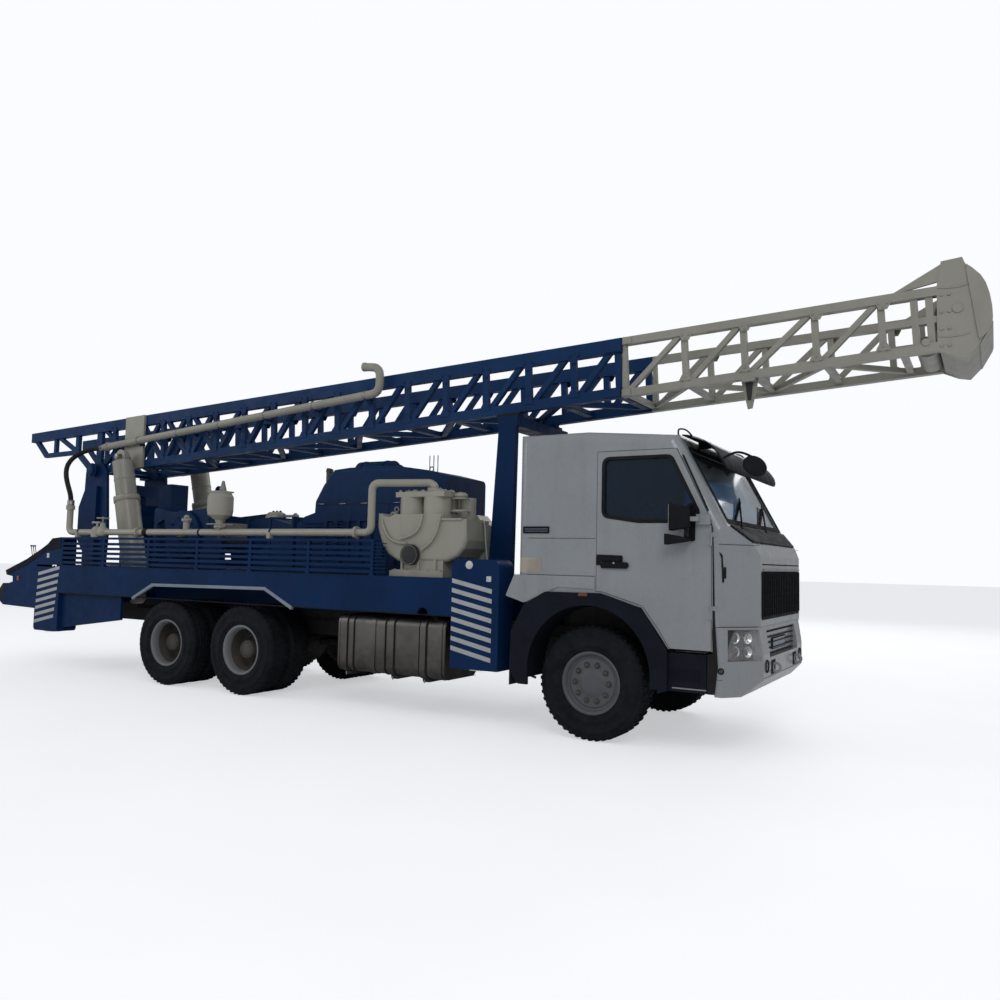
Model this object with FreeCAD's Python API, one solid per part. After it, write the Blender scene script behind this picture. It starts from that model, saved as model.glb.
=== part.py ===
import FreeCAD, Part
import math
import os

# Truck-mounted rotary drilling rig with its mast laid forward over the cab.
# Millimetres, +X forward, +Y to the truck's left, +Z up, ground at z = 0.
# Sizes along X are written from the front axle (x = 0); save() then moves every
# piece so that the origin lies on the ground under the middle of the rig's length.

os.makedirs("parts", exist_ok=True)
V = FreeCAD.Vector

# ---------------------------------------------------------------- driving sizes
# wheels and axles
wheelbase = 4600.0
tandem_spacing = 1350.0
tyre_r = 545.0
tyre_w = 300.0
bead_r = 285.0
flange_h = 16.0
front_track = 2022.0
rear_track = 1830.0
dual_spacing = 345.0
tyre_sides = 32
hidden_tyre_sides = 24
rim_sides = 18
kingpin_y = 860.0
kingpin_r = 22.0
spindle_r = 45.0
running_fit = 0.05
seat_gap = 0.3

# chassis
rail_outer = 432.0
rail_h = 300.0
rail_flange = 85.0
rail_wall = 9.0
rail_top = 1020.0
rail_front = 1210.0
rail_rear = -8050.0

# deck and its sides
half_width = 1250.0
beam_low = 1110.0
beam_high = 1500.0
beam_wall = 60.0
deck_plate = 12.0
deck_front = -1540.0
deck_rear = -8830.0
louvre_top = 1900.0
louvre_front = -2580.0
louvre_rear = -8260.0
louvre_wall = 40.0
slats = 6

# cab
cab_half = 1225.0
cab_wall = 45.0
cab_rear = -790.0
cab_nose = 1525.0
cab_floor = 1290.0
cab_top = 2960.0
cab_sill = 930.0
nose_low = 1150.0
roof_seam = cab_top - 170.0
nose_seam_x = cab_nose - 85.0
nose_seam_z = 1870.0
cab_round = 110.0
sweep_start = 1245.0
nose_half = 860.0
glass_t = 8.0
door_gap = 5.0
door_rear = 75.0
door_front = 1185.0
door_top = roof_seam - 40.0

# mast
pivot_x = -8600.0
pivot_z = 2950.0
pivot_r = 50.0
mast_half = 500.0
chord_w = 90.0
web_w = 56.0
mast_tail = -10410.0
tail_step = -9200.0
lower_start = -8830.0
colour_break = 20.0
head_x = 2950.0
crown_front = 3370.0
blue_bays = 15
blue_top_chord = 150.0
blue_low_chord = 110.0
white_chord = 80.0

# raising cylinders
cyl_y = 700.0
cyl_foot_x = -7250.0
cyl_foot_z = 1080.0
cyl_eye_x = -7760.0
cyl_eye_z = 3100.0
barrel_r = 170.0
barrel_len = 1480.0
stage_r = 145.0
foot_pin_r = 45.0

# jacks
front_jack = (-1540.0, -970.0, 580.0, 1700.0)
rear_jack = (-8820.0, -8260.0, 550.0, 1470.0)
jack_deep = 300.0
leg_r = 70.0
pad_r = 130.0
pad_t = 40.0
pad_show = 12.0
pad_room = 8.0
foot_round = 50.0

mid_axle = -wheelbase
rear_axle = -(wheelbase + tandem_spacing)
hub_z = tyre_r
shift_x = -(mast_tail + crown_front) / 2.0


# ---------------------------------------------------------------- shape helpers
def box(x0, x1, y0, y1, z0, z1):
    return Part.makeBox(x1 - x0, y1 - y0, z1 - z0, V(x0, y0, z0))


def side_prism(points, y0, y1):
    wire = Part.makePolygon([V(x, y0, z) for x, z in points + points[:1]])
    return Part.Face(wire).extrude(V(0, y1 - y0, 0))


def cross_prism(points, x0, x1):
    wire = Part.makePolygon([V(x0, y, z) for y, z in points + points[:1]])
    return Part.Face(wire).extrude(V(x1 - x0, 0, 0))


def plan_prism(points, z0, z1):
    wire = Part.makePolygon([V(x, y, z0) for x, y in points + points[:1]])
    return Part.Face(wire).extrude(V(0, 0, z1 - z0))


def bar(start, end, radius):
    way = V(*end) - V(*start)
    return Part.makeCylinder(radius, way.Length, V(*start), way)


def across(x, z, radius, y0, y1):
    return Part.makeCylinder(radius, y1 - y0, V(x, y0, z), V(0, 1, 0))


def upright(x, y, radius, z0, z1):
    return Part.makeCylinder(radius, z1 - z0, V(x, y, z0), V(0, 0, 1))


def flat_corners(start, end, depth):
    """Corners of a straight bar drawn in a plane, from one point to another."""
    du, dv = end[0] - start[0], end[1] - start[1]
    length = math.hypot(du, dv)
    nu, nv = -dv / length * depth / 2, du / length * depth / 2
    return [(start[0] + nu, start[1] + nv), (end[0] + nu, end[1] + nv),
            (end[0] - nu, end[1] - nv), (start[0] - nu, start[1] - nv)]


def side_bar(start, end, depth, y0, y1):
    return side_prism(flat_corners(start, end, depth), y0, y1)


def fuse(shapes):
    joined = shapes[0].multiFuse(shapes[1:]) if len(shapes) > 1 else shapes[0]
    return joined.removeSplitter()


def mirrored(shape):
    return shape.mirror(V(0, 0, 0), V(0, 1, 0))


def both_sides(shape):
    return [shape, mirrored(shape)]


def ring_solid(profile, sides, x, z):
    """Closed solid of flat facets: (radius, y) points carried round an axle along Y."""
    turn = math.pi / sides
    reach = 1.0 / math.cos(turn)
    faces = []
    for i in range(sides):
        a0 = -math.pi / 2 - turn + 2 * turn * i
        a1 = a0 + 2 * turn
        for (r0, y0), (r1, y1) in zip(profile, profile[1:] + profile[:1]):
            if r0 == 0 and r1 == 0:
                continue
            corners = []
            for r, y, a in ((r0, y0, a0), (r1, y1, a0), (r1, y1, a1), (r0, y0, a1)):
                point = V(x + r * reach * math.cos(a), y, z + r * reach * math.sin(a))
                if all(point.distanceToPoint(p) > 1e-6 for p in corners):
                    corners.append(point)
            faces.append(Part.Face(Part.makePolygon(corners + corners[:1])))
    solid = Part.makeSolid(Part.makeShell(faces))
    if solid.Volume < 0:
        solid.reverse()
    return solid


def lathe(profile, x, y, z):
    """Turned piece standing on an upright axis: (radius, height) points."""
    wire = Part.makePolygon([V(r, 0, h) for r, h in profile + profile[:1]])
    turned = Part.Face(wire).revolve(V(0, 0, 0), V(0, 0, 1), 360)
    turned.translate(V(x, y, z))
    return turned


def bend_points(points, bend, step):
    """Route of straight runs whose corners are turned in short mitred steps."""
    pts = [V(*p) for p in points]
    route = [pts[0]]
    for before, corner, after in zip(pts, pts[1:], pts[2:]):
        u = (before - corner).normalize()
        w = (after - corner).normalize()
        half = math.acos(max(-1.0, min(1.0, u.dot(w)))) / 2
        turn = math.pi - 2 * half
        if turn < 0.02:
            route.append(corner)
            continue
        centre = corner + (u + w).normalize() * (bend / math.sin(half))
        start = corner + u * (bend / math.tan(half)) - centre
        axis = w.cross(u)
        steps = max(1, round(math.degrees(turn) / step))
        for i in range(steps + 1):
            spoke = FreeCAD.Rotation(axis, math.degrees(turn) * i / steps).multVec(start)
            route.append(centre + spoke)
    return route + [pts[-1]]


def flat_pipe(points, radius, bend, sides=12, step=22.5):
    """Round pipe of flat facets, mitred at every point of its bent route."""
    route = bend_points(points, bend, step)
    way = (route[1] - route[0]).normalize()
    aside = way.cross(V(0, 0, 1) if abs(way.z) < 0.9 else V(0, 1, 0)).normalize()
    reach = radius / math.cos(math.pi / sides)
    spokes = [FreeCAD.Rotation(way, 360.0 * i / sides).multVec(aside) * reach for i in range(sides)]
    rings = [[route[0] + spoke for spoke in spokes]]
    for i in range(1, len(route)):
        into = (route[i] - route[i - 1]).normalize()
        if i + 1 < len(route):
            mitre = (into + (route[i + 1] - route[i]).normalize()).normalize()
        else:
            mitre = into
        rings.append([p + into * ((route[i] - p).dot(mitre) / into.dot(mitre)) for p in rings[-1]])
    faces = []
    for low, high in zip(rings, rings[1:]):
        for i in range(sides):
            j = (i + 1) % sides
            faces.append(Part.Face(Part.makePolygon([low[i], low[j], high[j], high[i], low[i]])))
    for ring in (rings[0], rings[-1]):
        faces.append(Part.Face(Part.makePolygon(ring + ring[:1])))
    solid = Part.makeSolid(Part.makeShell(faces))
    if solid.Volume < 0:
        solid.reverse()
    return solid


def save(name, shapes):
    solids = []
    for shape in (shapes if isinstance(shapes, list) else [shapes]):
        solids += shape.Solids
    moved = solids[0].copy() if len(solids) == 1 else Part.makeCompound(solids)
    moved.translate(V(shift_x, 0, 0))
    moved.exportStep("parts/" + name + ".step")
    b = moved.BoundBox
    print(f"{name:24s} {len(solids)} solid(s)  x {b.XMin:.0f}..{b.XMax:.0f}"
          f"  y {b.YMin:.0f}..{b.YMax:.0f}  z {b.ZMin:.0f}..{b.ZMax:.0f}"
          f"  {'ok' if moved.isValid() else 'INVALID'}")


# ---------------------------------------------------------------- wheels
bead_y = tyre_w * 0.36
hub_r = 115.0


def tyre(x, y_mid, sides):
    w = tyre_w / 2
    profile = [(bead_r, bead_y), (bead_r + 60, w * 0.98), (tyre_r * 0.84, w), (tyre_r, w * 0.8),
               (tyre_r, -w * 0.8), (tyre_r * 0.84, -w), (bead_r + 60, -w * 0.98), (bead_r, -bead_y)]
    if sides == hidden_tyre_sides:
        profile = [p for p in profile if p[0] != bead_r + 60]
    return ring_solid([(r, y_mid + y) for r, y in profile], sides, x, hub_z)


flat_share = math.cos(math.pi / rim_sides)
seat_r = (bead_r - seat_gap) * flat_share


def rim_edge(y_mid, way):
    """Flange and bead seat of one rim edge, from the inside of the barrel outwards."""
    edge = y_mid + way * bead_y
    return [(seat_r - 20, edge + way * 21), (seat_r + flange_h, edge + way * 21),
            (seat_r + flange_h, edge + way * 13), (seat_r, edge + way * 1)]


def front_rim():
    mid = front_track / 2
    bore = spindle_r + running_fit
    return ring_solid(
        [(0, mid + 150), (95, mid + 145), (hub_r, mid + 74), (seat_r - 22, mid + 70)]
        + rim_edge(mid, 1) + rim_edge(mid, -1)[::-1]
        + [(seat_r - 22, mid + 50), (hub_r, mid + 50), (hub_r, mid - 60), (bore, mid - 60),
           (bore, mid + 115), (0, mid + 115)], rim_sides, 0.0, hub_z)


def dual_rim(x):
    mid = rear_track / 2
    outer, inner = mid + dual_spacing / 2, mid - dual_spacing / 2
    bore = spindle_r + running_fit
    between = [(seat_r - 20, outer - bead_y - 21), (seat_r - 20, inner + bead_y + 21)]
    return ring_solid(
        [(0, mid + 215), (hub_r - 20, mid + 215), (hub_r, mid + 190), (hub_r, mid + 22),
         (seat_r - 24, mid + 10)]
        + rim_edge(outer, 1) + rim_edge(outer, -1)[::-1][:-1] + between
        + rim_edge(inner, 1)[1:] + rim_edge(inner, -1)[::-1]
        + [(seat_r - 24, mid - 12), (205, mid - 30), (205, mid - 200), (bore, mid - 200),
           (bore, mid + 180), (0, mid + 180)], rim_sides, x, hub_z)


front_mid = front_track / 2
tyre_front = tyre(0.0, front_mid, tyre_sides)
rim_front = front_rim()
for side, turned in (("left", lambda s: s), ("right", mirrored)):
    save("front_tyre_" + side, turned(tyre_front))
    save("front_rim_" + side, turned(rim_front))
    for place, axle in (("mid", mid_axle), ("rear", rear_axle)):
        pair = [tyre(axle, rear_track / 2 + dual_spacing / 2, tyre_sides),
                tyre(axle, rear_track / 2 - dual_spacing / 2, hidden_tyre_sides)]
        save(place + "_tyres_" + side, [turned(t) for t in pair])
        save(place + "_rims_" + side, turned(dual_rim(axle)))

# ---------------------------------------------------------------- axles and steering
eye_low, eye_high = hub_z - 60, hub_z + 60
boss_r = 48.0
beam = cross_prism([(-kingpin_y, eye_high), (-kingpin_y, eye_low), (70 - kingpin_y, eye_low),
                    (190 - kingpin_y, hub_z - 190), (kingpin_y - 190, hub_z - 190),
                    (kingpin_y - 70, eye_low), (kingpin_y, eye_low), (kingpin_y, eye_high),
                    (kingpin_y - 90, eye_high), (kingpin_y - 220, hub_z - 80),
                    (220 - kingpin_y, hub_z - 80), (90 - kingpin_y, eye_high)], -boss_r, boss_r)
beam = fuse([beam] + [upright(0, s * kingpin_y, boss_r, eye_low, eye_high) for s in (-1, 1)])
for s in (-1, 1):
    beam = beam.cut(upright(0, s * kingpin_y, kingpin_r + running_fit, 0, 2 * hub_z))

spring_y = 330.0
spring_w = 80.0
spring_t = 60.0


def leaf_spring(x, half, z_mid, rise, y_mid):
    """Curved spring pack: its ends rise above its middle by the given height."""
    lower = Part.Arc(V(x - half, 0, z_mid + rise), V(x, 0, z_mid), V(x + half, 0, z_mid + rise))
    upper = Part.Arc(V(x + half, 0, z_mid + rise + spring_t / 2), V(x, 0, z_mid + spring_t),
                     V(x - half, 0, z_mid + rise + spring_t / 2))
    ends = [Part.LineSegment(V(x + s * half, 0, z_mid + rise),
                             V(x + s * half, 0, z_mid + rise + spring_t / 2)) for s in (1, -1)]
    wire = Part.Wire(Part.__sortEdges__([e.toShape() for e in (lower, upper, ends[0], ends[1])]))
    leaf = Part.Face(wire).extrude(V(0, spring_w, 0))
    leaf.translate(V(0, y_mid - spring_w / 2, 0))
    return leaf


rail_low = rail_top - rail_h
front_spring_z = hub_z - 80
front_springs = []
for s in (-1, 1):
    spring_mid = s * (rail_outer - 45)
    leaf = leaf_spring(0, 800, front_spring_z, 90, spring_mid)
    hangers = [box(x - 45, x + 45, spring_mid - 40, spring_mid + 40,
                   front_spring_z + 90 + spring_t / 4, rail_low) for x in (-780, 780)]
    front_springs.append(fuse([leaf] + hangers))
save("front_axle", fuse([beam] + front_springs))

yoke_gap = 3.0
knuckle = fuse([
    upright(0, kingpin_y, kingpin_r, eye_low - 70, eye_high + 70),
    box(-45, 45, kingpin_y - 45, kingpin_y + 60, eye_high + yoke_gap, eye_high + 70),
    box(-45, 45, kingpin_y - 45, kingpin_y + 60, eye_low - 70, eye_low - yoke_gap),
    box(-45, 45, kingpin_y + 55, kingpin_y + 85, eye_low - 70, eye_high + 70),
    across(0, hub_z, spindle_r, kingpin_y + 80, front_mid + 105),
])
save("knuckle_left", knuckle)
save("knuckle_right", mirrored(knuckle))

rear_mid = rear_track / 2
casing_sides = 16
tube_r = 72.0
tube_end = rear_mid - 200 - 4
spindle_len = rear_mid + 170 - tube_end
rear_axles = []
for axle in (mid_axle, rear_axle):
    casing = ring_solid([(0, -220), (150, -200), (215, -60), (215, 60), (150, 200), (0, 220)],
                        casing_sides, axle, hub_z)
    tube = ring_solid([(0, -tube_end), (tube_r, -tube_end), (tube_r, tube_end), (0, tube_end)],
                      casing_sides, axle, hub_z)
    spindles = [across(axle, hub_z, spindle_r, y, y + spindle_len)
                for y in (tube_end, -tube_end - spindle_len)]
    rear_axles.append(fuse([casing, tube] + spindles))
bogie_x = (mid_axle + rear_axle) / 2
spring_out = rail_outer + 60
trunnion = [across(bogie_x, hub_z - 20, 60, -spring_out - 40, spring_out + 40)]
for s in (-1, 1):
    trunnion.append(side_prism([(bogie_x - 110, hub_z - 60), (bogie_x + 110, hub_z - 60),
                                (bogie_x + 70, hub_z + 75), (bogie_x - 70, hub_z + 75)],
                               *sorted((s * (spring_out - 35), s * (spring_out + 35)))))
    trunnion.append(side_prism([(x, z) for x, z in
                                ((bogie_x - tandem_spacing / 2 - 60, hub_z + 72),
                                 (bogie_x + tandem_spacing / 2 + 60, hub_z + 72),
                                 (bogie_x + 120, hub_z + 150), (bogie_x - 120, hub_z + 150))],
                               *sorted((s * (spring_out - 40), s * (spring_out + 40)))))
    trunnion.append(box(bogie_x - 90, bogie_x + 90,
                        *sorted((s * rail_outer, s * (spring_out + 20))), hub_z - 80, rail_low + 120))
shaft_r = 45.0
gearbox_out = (-950.0, 0.0, 650.0)
shafts = [flat_pipe([gearbox_out, (mid_axle + 150, 0, hub_z + 40)], shaft_r, 0),
          flat_pipe([(mid_axle - 150, 0, hub_z + 60), (rear_axle + 150, 0, hub_z + 60)], shaft_r, 0)]
save("rear_axles", fuse(rear_axles + trunnion + shafts))

# ---------------------------------------------------------------- chassis
rails = []
for s in (-1, 1):
    y0, y1 = sorted((s * rail_outer, s * (rail_outer - rail_flange)))
    solid = box(rail_rear, rail_front, y0, y1, rail_low, rail_top)
    hollow = box(rail_rear, rail_front, *sorted((s * (rail_outer - rail_wall), 0)),
                 rail_low + rail_wall, rail_top - rail_wall)
    rails.append(solid.cut(hollow))
cross_at = (rail_front - 60, -1150.0, -2500.0, mid_axle + 420, bogie_x, rear_axle - 420, rail_rear + 60)
members = [box(x - 40, x + 40, -(rail_outer - rail_wall), rail_outer - rail_wall,
               rail_low + rail_wall, rail_top - rail_wall - 20) for x in cross_at]
mount_pads = [box(x, x + 90, *sorted((s * (rail_outer - 5), s * (rail_outer - rail_flange + 5))),
                  rail_top, cab_floor - seat_gap) for x in (-770, 1010) for s in (-1, 1)]
battery = box(-2700, -1750, rail_outer, rail_outer + 520, 620, 980)
air_rear, air_front = mid_axle + tyre_r + 305, -2850.0
air_tanks = [Part.makeCylinder(120, air_front - air_rear, V(air_rear, rail_outer + 330, z), V(1, 0, 0))
             for z in (640, 890)]
tank_bracket = [box(x, x + 50, rail_outer, rail_outer + 330, 600, 930)
                for x in (air_rear + 100, air_front - 200)]
save("chassis_frame", fuse(rails + members + mount_pads + [battery] + air_tanks + tank_bracket))
engine_low, engine_high = 500.0, 1225.0
save("engine_block", box(gearbox_out[0] + 5, 520, -(rail_outer - rail_flange), rail_outer - rail_flange,
                         engine_low, engine_high))

tank_front, tank_rear = -1630.0, -3080.0
tank_y0, tank_y1 = rail_outer + 130, 1200.0
tank_low, tank_high = 430.0, 1050.0
corner = 90.0
tank_body = box(tank_rear, tank_front, -tank_y1, -tank_y0, tank_low, tank_high)
tank_body = tank_body.makeFillet(corner, [e for e in tank_body.Edges
                                          if abs(e.Vertexes[0].Point.x - e.Vertexes[1].Point.x) > 100])
straps = [box(x, x + 60, -tank_y0, -rail_outer, tank_low + 150, tank_high - 100)
          for x in (-2900, -1890)]
band_t = 8.0
band = box(tank_rear, tank_front, -tank_y1 - band_t, -tank_y0, tank_low - band_t, tank_high + band_t)
band = band.makeFillet(corner + band_t, [e for e in band.Edges
                                         if abs(e.Vertexes[0].Point.x - e.Vertexes[1].Point.x) > 100])
band_at = (-3020.0, -2620.0, -2370.0, -1950.0, -1740.0)
bands = [band.common(box(x, x + 70, -2000, 0, 0, 2000)) for x in band_at]
filler = upright(-1850, -tank_y1 + 150, 45, tank_high - 10, tank_high + 55)
save("fuel_tank", fuse([tank_body, filler] + straps + bands))

# ---------------------------------------------------------------- cab
screen_top = (cab_nose - 675, cab_top - 75)
screen_foot = (cab_nose - 235, nose_seam_z + 190)
scuttle = (cab_nose - 55, nose_seam_z + 20)
arch_front = 790.0
cab_outline = [(cab_rear, cab_floor), (cab_rear, cab_top), (screen_top[0] - 910, cab_top), screen_top,
               screen_foot, scuttle, (cab_nose, nose_seam_z - 90), (cab_nose, nose_low),
               (rail_front - 5, nose_low), (rail_front - 15, cab_sill), (arch_front, cab_sill),
               (arch_front - 120, cab_sill + 170), (arch_front - 260, cab_floor)]


def inset(points, wall):
    face = Part.Face(Part.makePolygon([V(x, 0, z) for x, z in points + points[:1]]))
    wires = face.makeOffset2D(-wall).OuterWire.OrderedVertexes
    return [(v.Point.x, v.Point.z) for v in wires]


def rounded_cab(points, half, radius):
    body = side_prism(points, -half, half)
    edges = [e for e in body.Edges if abs(e.Vertexes[0].Point.y - e.Vertexes[1].Point.y) < 1
             and min(v.Point.z for v in e.Vertexes) > cab_floor - 100
             and max(v.Point.z for v in e.Vertexes) > cab_floor + 200
             and e.Length > 150]
    return body.makeFillet(radius, edges)


def swept_plan(back, front, start, wall):
    """Plan of the cab with its front corners swept back, drawn in by a wall."""
    half, middle = cab_half - wall, nose_half - 0.45 * wall
    outline = [(back, -half), (start - 0.45 * wall, -half), (front - wall, -middle),
               (front - wall, middle), (start - 0.45 * wall, half), (back, half)]
    return plan_prism(outline, 0, cab_top + 100)


outer_cab = rounded_cab(cab_outline, cab_half, cab_round).common(
    swept_plan(cab_rear - 10, cab_nose, sweep_start, 0))
inner_cab = side_prism(inset(cab_outline, cab_wall), -(cab_half - cab_wall), cab_half - cab_wall)
inner_cab = inner_cab.common(swept_plan(cab_rear - 10, cab_nose, sweep_start, cab_wall))
hollow_cab = outer_cab.cut(inner_cab)


def rounded_window(outline, y0, y1, radius):
    """Prism through the side of the cab whose upright corners are rounded."""
    block = side_prism(outline, y0, y1)
    return block.makeFillet(radius, [e for e in block.Edges if e.BoundBox.YLength > abs(y1 - y0) - 1])

belt = screen_foot[1] + 30
door_low = cab_floor + 125
door_outline = [(door_rear, door_low), (door_rear + 65, door_low), (arch_front - 250, cab_floor + 10),
                (arch_front - 100, cab_sill + 175), (arch_front + 10, cab_sill), (door_front, cab_sill),
                (door_front, belt - 10), (screen_top[0] + 10, door_top), (door_rear, door_top)]
window_rear, window_front, window_top = door_rear + 75, door_front - 175, door_top - 80
window_outline = [(window_rear, belt + 50), (window_rear + 350, belt), (window_front, belt),
                  (window_front + 50, belt + 60), (screen_top[0] - 50, window_top), (window_rear, window_top)]

screen_way = V(screen_foot[0] - screen_top[0], 0, screen_foot[1] - screen_top[1]).normalize()
screen_out = V(-screen_way.z, 0, screen_way.x)


def screen_point(along, out):
    return (screen_top[0] + screen_way.x * along + screen_out.x * out,
            screen_top[1] + screen_way.z * along + screen_out.z * out)


screen_length = math.dist(screen_top, screen_foot)
screen_half = 1040.0
screen_from, screen_to = 150.0, screen_length - 40.0
screen_cut = side_prism([screen_point(screen_from, 30), screen_point(screen_to, 30),
                         screen_point(screen_to, -90), screen_point(screen_from, -90)],
                        -screen_half, screen_half)
windscreen = side_prism([screen_point(screen_from, -12), screen_point(screen_to, -12),
                         screen_point(screen_to, -12 - glass_t), screen_point(screen_from, -12 - glass_t)],
                        -screen_half, screen_half)
save("windscreen", windscreen)

roof_zone = box(cab_rear - 100, cab_nose, -cab_half - 100, cab_half + 100, roof_seam, cab_top + 200)
nose_zone = box(nose_seam_x, cab_nose + 100, -cab_half - 100, cab_half + 100, 0, nose_seam_z)
save("cab_roof", hollow_cab.common(roof_zone).cut(screen_cut))
shell = hollow_cab.cut(roof_zone).cut(nose_zone).cut(screen_cut)
for s in (-1, 1):
    shell = shell.cut(side_prism(door_outline, *sorted((s * (cab_half - cab_wall - 5), s * (cab_half + 20)))))
floor_half = rail_outer + 20
shell = shell.cut(box(cab_rear - 10, nose_seam_x + 10, -floor_half, floor_half, 0, cab_floor))
floor_step = arch_front - 260
shell = shell.cut(box(floor_step, nose_seam_x + 10, -floor_half, floor_half, 0, cab_floor + cab_wall))
floor_front = box(floor_step - 30, nose_seam_x, -floor_half, floor_half, cab_floor, cab_floor + cab_wall)
hinge_x, hinge_y, hinge_r = door_front - door_gap / 2, cab_half + 9.0 + seat_gap, 9.0
hinge_heights = (1250.0, 1900.0)
cab_hinges = []
for z in hinge_heights:
    lug = fuse([upright(hinge_x, hinge_y, hinge_r, z + 40 + seat_gap, z + 80),
                box(hinge_x, hinge_x + 50, cab_half - 1, cab_half + 6, z + 40 + seat_gap, z + 80)])
    cab_hinges += both_sides(lug)
shell = fuse([shell, floor_front] + cab_hinges)
save("cab_shell", shell)

grille_half, grille_low, grille_high = nose_half - 50, 1230.0, 1640.0
nose = hollow_cab.common(nose_zone)
nose = nose.cut(box(nose_seam_x, cab_nose + 50, -grille_half, grille_half, grille_low, grille_high))
bumper_top, bumper_back, bumper_low = nose_low - 5, rail_front + seat_gap, 540.0
bumper_nose = cab_nose + 25
bumper_half = cab_half - 5
bumper_turn = sweep_start + 35
bumper_plan = [(bumper_back, -bumper_half), (bumper_turn, -bumper_half), (bumper_nose, -nose_half),
               (bumper_nose, nose_half), (bumper_turn, bumper_half), (bumper_back, bumper_half)]
bumper = plan_prism(bumper_plan, bumper_low, bumper_top)
bumper = bumper.common(side_prism([(bumper_back, bumper_low), (1400.0, bumper_low), (bumper_nose, 680.0),
                                   (bumper_nose, 900.0), (bumper_nose - 40, bumper_top),
                                   (bumper_back, bumper_top)], -cab_half, cab_half))
lamp_y0, lamp_y1, lamp_low, lamp_high = nose_half + 15, 1175.0, 850.0, bumper_top - 20
lamp_back = bumper_turn + 20
lamp_pocket = box(lamp_back, bumper_nose + 10, lamp_y0, lamp_y1, lamp_low, lamp_high)
mouth = box(bumper_nose - 60, bumper_nose + 10, -620, 620, 860, bumper_top - 40)
for s in (-1, 1):
    bumper = bumper.cut(lamp_pocket if s > 0 else mirrored(lamp_pocket))
bumper = bumper.cut(mouth)
hook_y, hook_z, hook_t = 480.0, 760.0, 24.0
hooks = [ring_solid([(26, y), (50, y), (50, y + hook_t), (26, y + hook_t)], 12, bumper_nose + 28, hook_z)
         for y in (-hook_y - hook_t / 2, hook_y - hook_t / 2)]
save("cab_front", [nose, fuse([bumper] + hooks)])

grille_bars = 6
bar_step = (grille_high - grille_low) / grille_bars
grille_back = cab_nose - cab_wall + 2
grille = [box(grille_back, grille_back + 12, -grille_half, grille_half, grille_low, grille_high)]
for s in (-1, 0, 1):
    y = s * (grille_half - 15)
    grille.append(box(grille_back, cab_nose + 10, y - 15, y + 15, grille_low, grille_high))
for i in range(grille_bars + 1):
    z = grille_low + 12 + (grille_high - grille_low - 24) * i / grille_bars
    grille.append(side_prism([(grille_back + 10, z + 12), (cab_nose + 12, z + 2), (cab_nose + 12, z - 12),
                              (grille_back + 10, z - 2)], -grille_half, grille_half))
cowl_half = cab_half - 90
cowl_t = 16.0
cowl_way = V(scuttle[0] - screen_foot[0], 0, scuttle[1] - screen_foot[1]).normalize()
cowl_out = V(-cowl_way.z, 0, cowl_way.x)


def cowl_point(along, out):
    return (screen_foot[0] + cowl_way.x * along + cowl_out.x * out,
            screen_foot[1] + cowl_way.z * along + cowl_out.z * out)


cowl_length = math.dist(screen_foot, scuttle)
cowl = side_prism([cowl_point(25, seat_gap), cowl_point(cowl_length - 15, seat_gap),
                   cowl_point(cowl_length - 15, cowl_t), cowl_point(25, cowl_t)], -cowl_half, cowl_half)
cowl = cowl.common(swept_plan(screen_foot[0] - 10, cab_nose, sweep_start, 25))
wiper_foot, wiper_tip = cowl_point(60, cowl_t), screen_point(screen_length - 330, 14)
wipers = [bar((wiper_foot[0], y, wiper_foot[1]), (wiper_tip[0], y + 650, wiper_tip[1]), 9)
          for y in (-800, 150)]
save("grille", [fuse(grille), fuse([cowl] + wipers)])

lamp_skin = plan_prism(bumper_plan, bumper_low, bumper_top).common(
    box(lamp_back + seat_gap, bumper_nose, lamp_y0 + seat_gap, lamp_y1 - seat_gap,
        lamp_low + seat_gap, lamp_high - seat_gap))
lamp_skin = lamp_skin.common(side_prism([(lamp_back, lamp_low), (bumper_nose - 12, lamp_low),
                                         (bumper_nose - 12, 900.0), (bumper_nose - 52, bumper_top),
                                         (lamp_back, bumper_top)], 0, cab_half))
save("lamps", both_sides(lamp_skin))

door_slab = side_prism(inset(door_outline, door_gap), cab_half - cab_wall, cab_half)
window_round = 60.0
window_hole = rounded_window(window_outline, cab_half - cab_wall - 10, cab_half + 10, window_round)
door_slab = door_slab.cut(window_hole)
handle = box(door_rear + 60, door_rear + 330, cab_half - 1, cab_half + 18, 1640, 1700)
door_hinges = []
for z in hinge_heights:
    door_hinges += [upright(hinge_x, hinge_y, hinge_r, z - 40, z + 40),
                    box(hinge_x - 50, hinge_x, cab_half - 1, cab_half + 6, z - 40, z + 40)]
door_left = fuse([door_slab, handle] + door_hinges)
glass_left = rounded_window(window_outline, cab_half - 28, cab_half - 28 + glass_t, window_round)
mirror_y0, mirror_y1 = 1330.0, 1400.0
mirror_x = 1030.0
mirror_left = fuse([
    box(mirror_x - 190, mirror_x - 10, mirror_y0, mirror_y1, 1980, 2240),
    box(mirror_x - 190, mirror_x - 10, mirror_y0, mirror_y1, 1860, 1960),
    box(mirror_x - 60, mirror_x - 20, mirror_y0 + 20, mirror_y1 - 20, 1950, 1990),
    box(mirror_x - 50, mirror_x - 20, cab_half, mirror_y0 + 30, 2200, 2230),
    box(mirror_x - 50, mirror_x - 20, cab_half, mirror_y0 + 30, 1900, 1930),
])
for side, turned in (("left", lambda s: s), ("right", mirrored)):
    save("door_" + side, turned(door_left))
    save("door_glass_" + side, turned(glass_left))
    save("door_mirrors_" + side, turned(mirror_left))

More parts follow.
